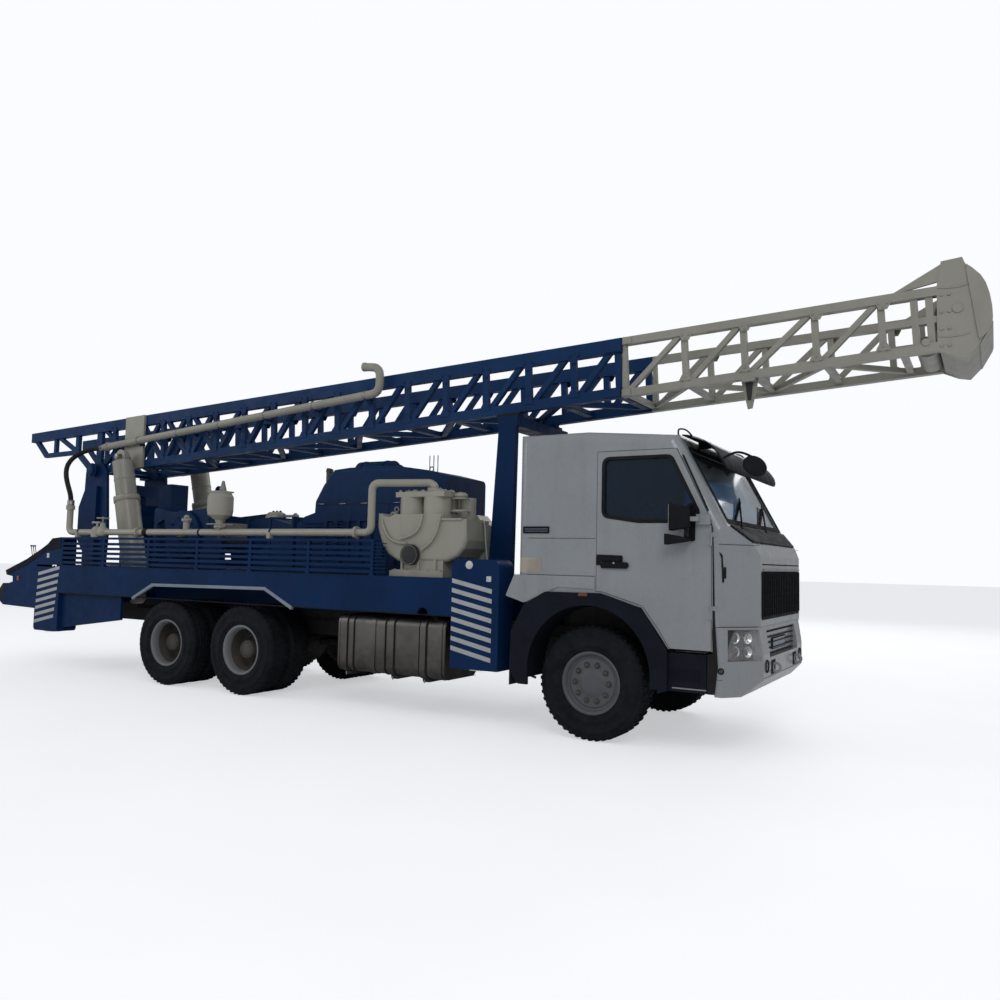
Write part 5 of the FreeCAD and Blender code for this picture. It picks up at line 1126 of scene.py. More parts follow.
def mudPump():
    pump = Maker("creamPaint")
    port, potY = (-2.14, -1.195, 1.735), -0.915
    # painted shade: a near-black disc inside the port's rim stands for the dark opening
    pump.use("darkPaintAndShade").lathe([(0.0, 0.006), (0.05, 0.006), (0.096, 0.004), (0.103, -0.004), (0.103, -0.02)],
                               port, (0, -1, 0), 40)
    pump.lathe([(0.103, -0.012), (0.104, 0.003), (0.112, 0.003), (0.114, -0.006), (0.114, -0.05)],
               port, (0, -1, 0), 40)
    pump.use("creamPaint")
    for x, r in ((-2.245, 0.14), (-1.92, 0.16), (-1.665, 0.09)):
        for z, wide, high, slant in ((2.205, 0.014, 0.028, 0.006), (2.345, 0.01, 0.02, 0.004)):
            pump.lathe([(r - 0.004, 0.0), (r + wide, 0.004), (r + wide, high - slant), (r - 0.004, high)],
                       (x, potY, z), alongZ, 40)
    for x in (-2.245, -1.92):
        pump.lathe([(0, 0.02), (0.138, 0.02), (0.15, 0.012), (0.15, 0.0), (0, 0)], (x, potY, 2.425), alongZ,
                   40)
        boltCircle(pump, 10, 0.122, (x, potY, 2.443), alongZ, 0.013)
    pump.lathe([(0, 0.05), (0.05, 0.05), (0.06, 0.04), (0.075, 0.028), (0.075, 0.0), (0, 0)],
               (-1.665, potY, 2.37), alongZ, 32)
    boltCircle(pump, 6, 0.062, (-1.665, potY, 2.396), alongZ, 0.01)
    for y in (-1.138, -0.692):
        pump.row(hexNut(0.018, 0.014), 5, (-2.36, y, 1.56), (0.145, 0, 0), "creamPaint")
    pump.slab(-2.4, -1.75, -1.145, -0.685, 1.5595, 1.572)
    for x in (-2.27, -2.05, -1.83):
        pump.slab(x - 0.012, x + 0.012, -1.145, -1.115, 1.57, 1.69)
    pump.lathe([(0.0, 0.0), (0.02, 0.0), (0.02, 0.05), (0.0, 0.055)], (-2.53, potY, 2.17), alongZ, 16)
    pump.tube(loopLine(-2.53, potY, 2.248, 0.028, 12), 0.008, 8)
    pump.lathe([(0.0, 0.0), (0.03, 0.0), (0.03, 0.04), (0.018, 0.05), (0.018, 0.085), (0.026, 0.09),
                (0.0, 0.1)], (-2.09, potY, 2.42), alongZ, 24)
    ribs = [[(-2.56, -1.145, 2.12), (-2.5, -1.156, 1.96), (-2.36, -1.16, 1.86), (-2.2, -1.16, 1.86)],
            [(-1.995, -1.158, 2.18), (-2.02, -1.16, 2.02), (-2.16, -1.162, 1.93), (-2.29, -1.162, 1.91)],
            [(-1.76, -1.156, 2.17), (-1.79, -1.16, 2.0), (-1.88, -1.16, 1.86), (-1.995, -1.16, 1.79)]]
    for rib in ribs:
        pump.tube(rib, 0.013, 8)
    pump.slab(-1.8, -1.5, -1.1535, -1.02, 2.11, 2.13)
    addPiece("mudPumpDetails", pump)
    power = Maker("powerGrey")
    for x in (-2.3, -1.58):
        power.slab(x - 0.02, x + 0.02, -0.69, -0.445, 1.505, 2.02)
    power.lathe([(0, 0.03), (0.12, 0.03), (0.17, 0.018), (0.185, 0.0)], (-1.7, -0.872, 1.96), (0, -1, 0), 40)
    boltCircle(power, 12, 0.16, (-1.7, -0.887, 1.96), (0, -1, 0), 0.012, "powerGrey")
    power.tube([(-1.52, -0.72, 2.12), (-1.44, -0.8, 2.13), (-1.38, -0.86, 2.02), (-1.34, -0.9, 1.8),
                (-1.3, -0.92, 1.6)], 0.011, 8)
    addPiece("powerEndDetails", power)


def pipeFittings():
    pipe = Maker("creamPaint")
    level, y = 1.975, -1.18
    flange(pipe, (-6.68, y, level), alongX, 0.058, 0.03, 6, size=0.008)
    pipe.use("sealRubber").rod((-6.55, y, level), (-6.46, y, level), 0.05, 24, 0.006)
    flange(pipe, (-8.2, y, 2.33), alongZ, 0.056, 0.028, 6, size=0.008)
    flange(pipe, (-1.96, -0.99, 2.445), alongZ, 0.082, 0.036)
    x = -7.44
    pipe.lathe([(0.0, -0.085), (0.06, -0.08), (0.072, 0.0), (0.06, 0.08), (0.0, 0.085)], (x, y, level),
               alongX, 24)
    pipe.lathe([(0.058, 0.0), (0.058, 0.06), (0.04, 0.075), (0.03, 0.13), (0.018, 0.135), (0.0, 0.135)],
               (x, y, level), alongZ, 24)
    pipe.rod((x, y, level + 0.13), (x, y, level + 0.215), 0.01, 12)
    wheelR, wheelZ = 0.078, level + 0.195
    pipe.tube(loopLine(x, y, wheelZ, wheelR, 20, False), 0.009, 8)
    for i in range(4):
        a = math.pi / 2 * i + 0.4
        pipe.rod((x, y, wheelZ), (x + wheelR * math.sin(a), y + wheelR * math.cos(a), wheelZ), 0.006, 8)
    for z in (2.075, 2.485):
        pipe.lathe([(0.158, -0.006), (0.164, 0.0), (0.158, 0.006)], (-5.105, y, z), alongZ, 40)
    flange(pipe, (-5.105, y, 2.045), alongZ, 0.07, 0.026)
    flange(pipe, (-5.72, y, 2.135), alongZ, 0.062, 0.026, 6)
    pipe.lathe([(0, 0.05), (0.02, 0.05), (0.035, 0.03), (0.04, 0.0), (0, 0)],
               (-5.72, y, 2.15), alongZ, 20)
    pipe.use("bareSteel").rod((-5.105, y, 2.5), (-5.105, y, 2.55), 0.014, 12)
    clamp = Maker("navyPaint").hoop(0.041, 0.047, 0.014, (0, y, level), alongX, 20)
    pipe.row(clamp.item(), 4, (-7.95, 0, 0), (1.25, 0, 0), "navyPaint")
    addPiece("pipeFittings", pipe)


hoseRoute = [(-8.2, -1.18, 2.3603), (-8.2, -1.18, 2.49), (-8.3, -1.18, 2.66), (-8.44, -1.13, 2.82),
             (-8.58, -1.03, 2.97), (-8.68, -0.89, 3.1), (-8.7, -0.745, 3.2), (-8.62, -0.64, 3.262),
             (-8.48, -0.596, 3.28), (-8.3403, -0.596, 3.291)]


def mudHose():
    hose = Maker("hoseRubber").tube(hoseRoute, 0.034, 20)
    line = addPiece("mudHose", hose, body=None, replaces=["mud_hose"])
    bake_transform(line)
    foot = Maker("bareSteel")
    foot.lathe([(0.036, -0.01), (0.046, -0.01), (0.048, 0.0), (0.048, 0.075), (0.036, 0.08)], (-8.2, -1.18,
                                                                                               2.36),
               alongZ, 24)
    foot.ring(hexNut(0.007, 0.02), 2, 0.054, (-8.2, -1.18, 2.4), alongY, "bareSteel")
    addPiece("hoseFoot", foot)
    head = Maker("bareSteel")
    head.lathe([(0.036, -0.085), (0.046, -0.08), (0.048, -0.01), (0.052, 0.0), (0.052, 0.03), (0.03, 0.03)],
               (-8.345, -0.596, 3.29), (1, 0, 0.12), 24)
    addPiece("hoseHead", head, "mast")


deckMarks()
tailDetails()
louvreDetails()
mudPump()
pipeFittings()
mudHose()
print("deck", pieceCount)


# ---- mast
mast = {"half": 0.5, "post": 0.552, "bays": 15, "blueStart": -8.26, "topSlope": 0.04, "lowSlope": 0.0594}
capScrew = [(0, 0.012), (0.012, 0.012), (0.015, 0.006), (0.015, 0.0), (0, 0)]
mastSkin = mast["half"] + 0.0006


def topEdge(x):
    return 3.63 + (x + 10.41) * mast["topSlope"]


def lowEdge(x):
    return 2.905 + (x + 8.6) * mast["lowSlope"]


def gusset(finish, wide, tall, up):
    edge, point = up * tall * 0.25, wide * 0.4
    outline = [(-wide, 0), (wide, 0), (wide, edge), (point, up * tall), (-point, up * tall), (-wide, edge)]
    return Maker(finish).prism(outline, mastSkin, mastSkin + 0.006).item()


def mastBlueTrim():
    trim = Maker("mastBlue")
    first = mast["blueStart"]
    alongTop, alongLow = ((mast["post"], 0, mast["post"] * mast[slope]) for slope in ("topSlope", "lowSlope"))
    for up, edge, depth, step in ((-1, topEdge, 0.11, alongTop), (1, lowEdge, 0.07, alongLow)):
        start = (first, 0, edge(first) + up * depth)
        trim.row(gusset("mastBlue", 0.066, 0.09, up), mast["bays"], start, step, "mastBlue")
    bolt = Maker("mastBlue").lathe([(0, 0.01), (0.009, 0.01), (0.012, 0.006), (0.012, 0.0), (0, 0)],
                                   (0, mast["half"] + 0.006, 0), alongY, 6, False).item()
    for dx in (-0.045, 0.045):
        trim.row(bolt, mast["bays"], (first + dx, 0, topEdge(first) - 0.122), alongTop, "mastBlue")
    for z0, z1 in ((topEdge(-0.05) - 0.145, topEdge(-0.05) - 0.004), (lowEdge(-0.05) + 0.004,
                                                                      lowEdge(-0.05) + 0.105)):
        trim.prism([(-0.17, z0), (0.008, z0 + 0.006), (0.008, z1 + 0.004), (-0.17, z1 - 0.004)], 0.5002,
                   0.512)
    trim.rod((-8.6, 0.5, 2.95), (-8.6, 0.64, 2.95), 0.052, 28, 0.006)
    trim.lathe([(0, 0.012), (0.075, 0.012), (0.085, 0.0), (0, 0)], (-8.6, 0.64, 2.95), alongY, 32)
    trim.mirror()
    trim.rod((-8.6, -0.41, 2.95), (-8.6, 0.41, 2.95), 0.045, 20)
    addPiece("mastBlueTrim", trim, "mast")


def mastWhiteTrim():
    trim = Maker("creamPaintedShade")
    out = mastSkin
    wide, point = 0.06, 0.034
    for x in (0.7, 1.29, 1.95, 2.52):
        for up, z in ((-1, topEdge(x) - 0.065), (1, lowEdge(x) + 0.065)):
            low, high = z + up * 0.02, z + up * 0.07
            trim.prism([(x - wide, z), (x + wide, z + 0.004), (x + wide, low), (x + point, high),
                        (x - point, high), (x - wide, low)], out, out + 0.005)
            for dx, dz in ((-0.035, 0.014), (0.035, 0.014), (0, 0.048)):
                trim.lathe([(0, 0.01), (0.01, 0.01), (0.012, 0.0), (0, 0)], (x + dx, out + 0.005,
                                                                             z + up * dz),
                           alongY, 6, False)
    for z0, z1 in ((topEdge(0.08) - 0.078, topEdge(0.08) - 0.004), (lowEdge(0.08) + 0.004,
                                                                    lowEdge(0.08) + 0.075)):
        trim.slab(0.032, 0.12, 0.5002, 0.512, z0, z1)
    for x in (2.985, 3.045):
        for z in (3.63, 3.78, 3.93, 4.08):
            trim.lathe(capScrew, (x, out, z), alongY, 6, False)
    trim.lathe([(0, 0.01), (0.04, 0.01), (0.043, 0.007), (0.043, 0.0), (0, 0)], (3.11, out, 3.95), alongY, 32,
               False)
    trim.lathe([(0, 0.01), (0.03, 0.01), (0.034, 0.006), (0.034, 0.0), (0, 0)], (2.86, out, 3.675), alongY,
               28,
               False)
    for z in (4.15, 3.72):
        seam = [(2.955, z), (3.03, z - 0.012), (3.13, z - 0.012), (3.2, z + 0.006)]
        trim.prism(seam + [(x, deep - 0.007) for x, deep in seam[::-1]], out, out + 0.006)
    cover = [(3.176, 4.33), (3.225, 4.285), (3.286, 4.215), (3.325, 4.14), (3.352, 4.04), (3.368, 3.935),
             (3.372, 3.84), (3.364, 3.77), (3.335, 3.715), (3.276, 3.655), (3.262, 3.68), (3.245, 3.8),
             (3.225, 3.95), (3.2, 4.12), (3.18, 4.26)]
    trim.prism(cover, out, out + 0.014)
    trim.mirror()
    trim.prism([(1.235, 3.5), (1.405, 3.508), (1.345, 3.215), (1.3, 3.208)], -0.428, -0.415)
    trim.prism([(1.255, 3.5), (1.385, 3.506), (1.385, 3.47), (1.255, 3.464)], -0.499, -0.428)
    # painted shadow: a near-black block on the gusset under the bracket's top plate
    trim.use("darkPaintAndShade").prism([(1.285, 3.462), (1.35, 3.466), (1.335, 3.3), (1.305, 3.296)], -0.45, -0.428)
    trim.use("creamPaintedShade").prism([(3.374, 3.8), (3.364, 3.765), (3.276, 3.605), (3.266, 3.612),
                                 (3.354, 3.77), (3.362, 3.802)],
                                -0.5, 0.5)
    addPiece("mastWhiteTrim", trim, "mast")


def crownSheaves():
    wheels = Maker("oldSteel")
    flank = [(0.045, -0.03), (0.062, -0.03), (0.066, -0.014), (0.15, -0.01), (0.156, -0.026),
             (0.196, -0.03), (0.2, -0.024), (0.172, -0.006)]
    groove = flank + [(0.17, 0.0)] + [(r, -h) for r, h in flank[::-1]]
    hole = Maker("oldSteel").lathe([(0, 0.012), (0.016, 0.012), (0.022, 0.0), (0.016, -0.012), (0, -0.012)],
                                   (0, 0, 0), alongZ, 12).item()
    for y in (-0.225, -0.075, 0.075, 0.225):
        wheels.use("oldSteel").lathe(groove, (3.11, y, 3.95), alongY, 48, closed=True)
        # painted shade: the sheaves' holes are near-black solid lenses standing in for openings
        wheels.ring(hole, 6, 0.108, (3.11, y, 3.95), alongY, "darkPaintAndShade")
    wheels.use("bareSteel").rod((3.11, -0.45, 3.95), (3.11, 0.45, 3.95), 0.042, 24)
    addPiece("crownSheaves", wheels, "crown_sheaves", ["crown_sheaves"])


def standpipeTrim():
    trim = Maker("creamPaint")
    way = Vector((5.25, 0, 0.409)).normalized()
    for i in range(6):
        x = -7.55 + i * 0.85
        z = 3.291 + (x + 8.34) * 0.0779
        trim.use("mastBlue").slab(x - 0.03, x + 0.03, -0.545, -0.499, z - 0.075, z - 0.05)
        trim.slab(x - 0.03, x + 0.03, -0.6, -0.51, z - 0.058, z - 0.048)
        trim.use("bareSteel").hoop(0.0505, 0.058, 0.01, (x, -0.596, z), way, 24)
    flange(trim, (-8.25, -0.596, 3.298), tuple(way), 0.066, 0.028, 6, "creamPaint", 0.008)
    trim.use("creamPaint").lathe([(0.049, 0.0), (0.055, 0.002), (0.056, 0.03), (0.044, 0.034), (0.0, 0.02)],
                                 (-3.312, -0.596, 4.038), (-1, 0, 0.12), 28)
    addPiece("standpipeTrim", trim, "mast")


# ---- raising cylinders
def raisingTrim(side):
    s = 1 if side == "left" else -1
    foot, eye = Vector((-7.25, s * 0.7, 1.08)), Vector((-7.76, s * 0.7, 3.1))
    way = (eye - foot).normalized()
    barrel = Maker("creamPaint")
    top = foot + way * 1.48
    barrel.lathe([(0.168, -0.085), (0.182, -0.08), (0.182, -0.006), (0.176, 0.0), (0.15, 0.0)], top, way, 48)
    barrel.ring(hexNut(0.013, 0.012), 12, 0.164, top, tuple(way), "bareSteel")
    barrel.use("creamPaint").lathe([(0.169, 0), (0.176, 0.006), (0.176, 0.05), (0.169, 0.056)],
                                   foot + way * 0.5,
                                   way, 48)
    port = foot + way * 0.62 + Vector((-0.165, 0, -0.04))
    high = foot + way * 1.4 + Vector((-0.172, 0, -0.042))
    barrel.use("bareSteel").tube([tuple(port), tuple(port + Vector((-0.04, 0, 0.03))),
                                  tuple(high + Vector((-0.035, 0, -0.04))), tuple(high)], 0.011, 10)
    barrel.lathe([(0, 0.03), (0.022, 0.03), (0.025, 0.0), (0, 0)], port + Vector((0.005, 0, 0)),
                 (-1, 0, -0.2), 12)
    addPiece("raiseBarrelTrim_" + side, barrel, "raise_barrel_" + side)
    rod = Maker("creamPaintedShade")
    rod.lathe([(0.143, 0.0), (0.149, 0.004), (0.149, 0.03), (0.143, 0.034)], eye - way * 0.36, way, 44)
    for out in (-1, 1):
        rod.use("bareSteel").lathe([(0, 0.016), (0.04, 0.016), (0.046, 0.01), (0.046, 0.0), (0, 0)],
                                   eye + Vector((0, out * 0.098, 0)), (0, out, 0), 24)
    addPiece("raiseRodTrim_" + side, rod, "raise_rod_" + side)


# ---- engine hood
def hoodTrim():
    hood = Maker("hoodBlue")
    face = 0.4306
    slat = Maker("hoodBlue").prism([(0, 0), (0.3, 0), (0.3, 0.012), (0, 0.004)], face, face + 0.016).item()
    for x in (-4.36, -3.98, -2.86):
        hood.row(slat, 11, (x, 0, 1.7), (0, 0, 0.042), "hoodBlue")
    hood.use("sealRubber")
    for x, top in ((-4.42, 2.16), (-3.6, 2.36), (-3.02, 2.36), (-2.5, 2.36)):
        hood.slab(x, x + 0.006, face - 0.0003, face + 0.0012, 1.6, top)
    for x, z in ((-4.42, 1.6), (-4.2, 2.36)):
        hood.slab(x, -2.49, face - 0.0003, face + 0.0012, z, z + 0.006)
    for x in (-4.1, -3.75, -3.4, -2.9, -2.65):
        hood.use("bareSteel").rod((x - 0.05, face + 0.006, 2.368), (x + 0.05, face + 0.006, 2.368), 0.008, 10)
        hood.use("blackPlastic").prism(oblong(x - 0.02, x + 0.02, 1.625, 1.665, 0.008), face, face + 0.012)
    hood.mirror()
    hood.use("navyPaint")
    for x in (-3.56, -3.22):
        hood.hoop(0.1655, 0.171, 0.014, (x, -0.2, 2.75), alongX, 40)
    hood.use("sealRubber").lathe([(0.0, 0.01), (0.05, 0.018), (0.14, 0.018), (0.155, 0.008), (0.16, 0.0)],
                                 (-3.64, -0.2, 2.75), (-1, 0, 0), 40)
    pipeY = 0.26
    hood.use("oldSteel").tube([(-4.3, pipeY, 2.15), (-4.5, pipeY, 2.24), (-4.6, pipeY, 2.4),
                               (-4.6, pipeY, 2.88)], 0.042, 20)
    hood.lathe([(0.044, 0.0), (0.05, 0.01), (0.05, 0.05), (0.03, 0.055), (0, 0.06)], (-4.6, pipeY, 2.86),
               (0, 0.3, 1), 24)
    hood.use("bareSteel")
    for x in (-2.62, -2.56, -2.5):
        hood.rod((x, -0.16, 2.66), (x, -0.16, 2.96), 0.006, 8)
    for x in (-4.0, -2.7):
        hood.tube(loopLine(x, 0.0, 2.815, 0.03, 12), 0.008, 8)
    addPiece("hoodTrim", hood)


# ---- winch and drives
def winchTrim():
    winch = Maker("ropeSteel")
    coil = runTree("coil", "ropeSteel", Turns=44.0, Radius=0.2, Width=0.98, Thickness=0.0105)
    winch.addMesh(coil, standing((-6.42, -0.49, 1.96), alongY), True)
    for s in (-1, 1):
        winch.use("navyPaint").lathe([(0.3, 0), (0.338, 0.004), (0.344, 0.018), (0.344, 0.046),
                                      (0.335, 0.052),
                                      (0.1, 0.052)], (-6.42, s * 0.62, 1.96), (0, s, 0), 56)
        winch.ring(hexNut(0.014, 0.012), 10, 0.25, (-6.42, s * 0.672, 1.96), (0, s, 0), "navyPaint")
        winch.use("bareSteel").lathe([(0, 0.05), (0.045, 0.05), (0.06, 0.03), (0.075, 0.0)],
                                     (-6.42, s * 0.672, 1.96), (0, s, 0), 28)
        winch.use("navyPaint")
        for x in (-7.02, -5.71):
            winch.slab(x - 0.03, x + 0.03, s * 0.6 - 0.035, s * 0.6 + 0.035, 1.505, 1.72)
    winch.use("powerGrey").lathe([(0.0, 0.8), (0.018, 0.79), (0.03, 0.74), (0.05, 0.66), (0.05, 0.0), (0, 0)],
                                 (-5.72, -0.6, 1.905), alongZ, 28)
    winch.lathe([(0.051, 0.3), (0.058, 0.305), (0.058, 0.345), (0.051, 0.35)], (-5.72, -0.6, 1.905), alongZ,
                28)
    winch.use("hoseRubber").tube([(-5.725, -0.652, 2.5), (-5.78, -0.68, 2.43), (-5.87, -0.68, 2.24),
                                  (-5.9, -0.66, 2.06)], 0.009, 8)
    for x in (-6.02, -5.95, -5.88):
        winch.use("bareSteel").rod((x, 0.59, 2.06), (x + 0.05, 0.6, 2.34), 0.008, 10)
        winch.use("blackPlastic").ball((x + 0.052, 0.6, 2.355), 0.02, detail=8)
    addPiece("winchTrim", winch)
    gears = Maker("hoodBlue")
    for x in (-5.54, -5.13, -4.72):
        gears.slab(x - 0.015, x + 0.015, -0.292, 0.292, 1.7, 2.222)
    for s in (-1, 1):
        gears.lathe([(0, 0.05), (0.09, 0.05), (0.12, 0.03), (0.15, 0.0)], (-5.33, s * 0.28, 1.93),
                    (0, s, 0), 36)
        gears.ring(hexNut(0.011, 0.01), 8, 0.125, (-5.33, s * 0.297, 1.93), (0, s, 0), "hoodBlue")
    gears.use("oldSteel").rod((-4.7, 0, 1.93), (-4.5, 0, 1.93), 0.055, 24)
    flange(gears, (-4.62, 0, 1.93), alongX, 0.11, 0.05, 8, "oldSteel")
    gears.use("creamPaint").rod((-5.43, 0, 2.21), (-5.21, 0, 2.21), 0.1, 36, 0.012)
    gears.use("powerGrey").rod((-5.215, 0, 2.248), (-4.9, 0, 2.248), 0.02, 16)
    for x in (-5.17, -4.95):
        flange(gears, (x, 0, 2.248), alongX, 0.042, 0.022, 6, "powerGrey", 0.006)
    gears.use("oldSteel").rod((-6.1, 0.3, 1.78), (-5.55, 0.2, 1.82), 0.038, 20)
    gears.use("navyPaint")
    for x in (-8.12, -7.69):
        gears.slab(x - 0.014, x + 0.014, -0.392, 0.392, 1.9, 2.412)
    for s in (-1, 1):
        gears.lathe([(0, 0.03), (0.11, 0.03), (0.13, 0.0)], (-7.905, s * 0.38, 2.14), (0, s, 0), 32)
        gears.ring(hexNut(0.011, 0.01), 8, 0.1, (-7.905, s * 0.411, 2.14), (0, s, 0), "navyPaint")
    addPiece("driveTrim", gears)


def towerTrim():
    trim = Maker("navyPaint")
    for x in (-8.78, -8.46):
        trim.row(hexNut(0.018, 0.014), 3, (x, 0.58, 1.515), (0.12, 0, 0), "navyPaint")
    trim.use("navyPaint").lathe([(0, 0.03), (0.07, 0.03), (0.095, 0.01), (0.11, 0.0)], (-8.6, 0.6105, 2.95),
                                alongY, 32)
    for z in (1.75, 2.15, 2.55):
        trim.prism(oblong(-8.72, -8.48, z - 0.09, z + 0.09, 0.05), 0.5502, 0.556)
    trim.use("bareSteel").rod((-1.315, 0.562, 1.6), (-1.315, 0.562, 1.66), 0.03, 16)
    trim.use("hoseRubber").slab(-1.455, -1.175, 0.42, 0.555, 3.292, 3.318)
    trim.mirror()
    addPiece("towerTrim", trim)


mastBlueTrim()
mastWhiteTrim()
crownSheaves()
standpipeTrim()
for side in ("left", "right"):
    raisingTrim(side)
hoodTrim()
winchTrim()
towerTrim()
print("mast and machinery", pieceCount)


# ---- tank, battery box and running gear
railY = 0.432
springY = 0.387


def tankSection(out):
    points = [(-0.565, 1.05 + out)]
    for y, z, first in ((-1.11, 0.96, 90), (-1.11, 0.52, 180)):
        for i in range(7):
            a = math.radians(first + 15 * i)
            points.append((y + (0.09 + out) * math.cos(a), z + (0.09 + out) * math.sin(a)))
    return points + [(-0.565, 0.43 - out)]


def tankDetails():
    tank = Maker("tankAlloy")
    for finish, half, out, places in (("tankAlloy", 0.007, 0.004, (-3.06, -1.645)), (
            "sealRubber", 0.006, 0.0095, (-2.945, -2.852, -2.412, -2.29, -1.958, -1.868))):
        for x in places:
            tank.use(finish).plate(tankSection(out) + tankSection(0.0002)[::-1], x - half, x + half)
    for x in (-2.985, -2.335, -1.915):
        tank.use("bareSteel").rod((x, -1.15, 0.418), (x, -1.15, 0.38), 0.007, 10)
        tank.ring(hexNut(0.013, 0.012), 1, 0.0, (x, -1.15, 0.405), (0, 0, -1), "bareSteel")
        tank.use("chassisPaint").prism([(x - 0.05, 0.4295), (x + 0.05, 0.4295), (x + 0.04, 0.385),
                                        (x - 0.04, 0.385)],
                                       -1.12, -0.6)
        tank.slab(x - 0.04, x + 0.04, -0.6, -railY, 0.385, 0.44)
    tank.use("blackPlastic").lathe([(0, 0.052), (0.046, 0.052), (0.056, 0.044), (0.058, 0.03), (0.058, 0.004),
                                    (0.046, 0.0)], (-1.85, -1.05, 1.055), alongZ, 32)
    tank.rod((-1.85, -1.104, 1.085), (-1.85, -0.996, 1.085), 0.009, 10)
    tank.use("oldSteel").lathe([(0, 0.012), (0.034, 0.012), (0.036, 0.0)], (-2.5, -0.88, 1.05), alongZ, 24)
    tank.ring(hexNut(0.004, 0.004), 5, 0.027, (-2.5, -0.88, 1.062), alongZ, "oldSteel")
    for y in (-0.865, -0.895):
        tank.use("hoseRubber").tube([(-2.5, y, 1.055), (-2.5, y, 1.085), (-2.44, y + 0.06, 1.092),
                                     (-2.38, -0.6, 1.05), (-2.37, -0.47, 0.98)], 0.007, 8)
    tank.use("oldSteel").lathe([(0, 0.018), (0.014, 0.018), (0.018, 0.0)], (-2.6, -0.9, 0.428), (0, 0, -1), 6,
                               False)
    addPiece("tankDetails", tank)


def batteryAndAir():
    box = Maker("chassisPaint")
    face = 0.9522
    box.slab(-2.712, -1.738, 0.44, 0.962, 0.942, 0.986)
    for x in (-2.6, -2.4, -2.2, -2.0, -1.85):
        box.slab(x - 0.025, x + 0.025, face - 0.003, face + 0.007, 0.65, 0.92)
    for x in (-2.5, -1.95):
        box.use("bareSteel").slab(x - 0.018, x + 0.018, face, face + 0.01, 0.86, 0.962)
        box.rod((x - 0.02, face + 0.01, 0.87), (x + 0.02, face + 0.01, 0.87), 0.007, 10)
    box.use("chassisPaint").bevel(0.003)
    for z in (0.64, 0.89):
        for x, way in ((-2.85, 1), (midAxleX + tyreR + 0.305, -1)):
            box.use("chassisPaint").lathe([(0, 0.04), (0.04, 0.038), (0.08, 0.03), (0.108, 0.014),
                                           (0.119, 0.0)],
                                          (x, 0.762, z), (way, 0, 0), 32)
            box.use("brassy").lathe([(0, 0.05), (0.01, 0.05), (0.014, 0.036)], (x, 0.762, z), (way, 0, 0), 12)
        for x in (-3.45, -3.05):
            box.use("oldSteel").hoop(0.1205, 0.1245, 0.018, (x, 0.762, z), alongX, 40)
        box.use("brassy").lathe([(0, 0.028), (0.008, 0.028), (0.012, 0.0)], (-3.25, 0.762, z - 0.119),
                                (0, 0, -1), 10)
        box.use("hoseRubber").tube([(-2.8, 0.762, z), (-2.74, 0.762, z + 0.01), (-2.735, 0.6, z + 0.03),
                                    (-2.74, 0.47, z + 0.04), (-2.9, 0.452, z + 0.05)], 0.008, 8)
    addPiece("batteryAndAir", box)


def springPack(maker, x, y, z, wide, leaves):
    for i in range(leaves):
        reach = 0.7 - i * 0.085
        line = [(x + reach * t, y, z - 0.01 * i + 0.085 * (reach * t / 0.8) ** 2) for t in
                (-1.0, -0.6, -0.3, 0.0, 0.3, 0.6, 1.0)]
        for a, b in zip(line, line[1:]):
            maker.prism([(a[0], a[2]), (b[0], b[2]), (b[0], b[2] - 0.0085), (a[0], a[2] - 0.0085)],
                        y - wide / 2, y + wide / 2)


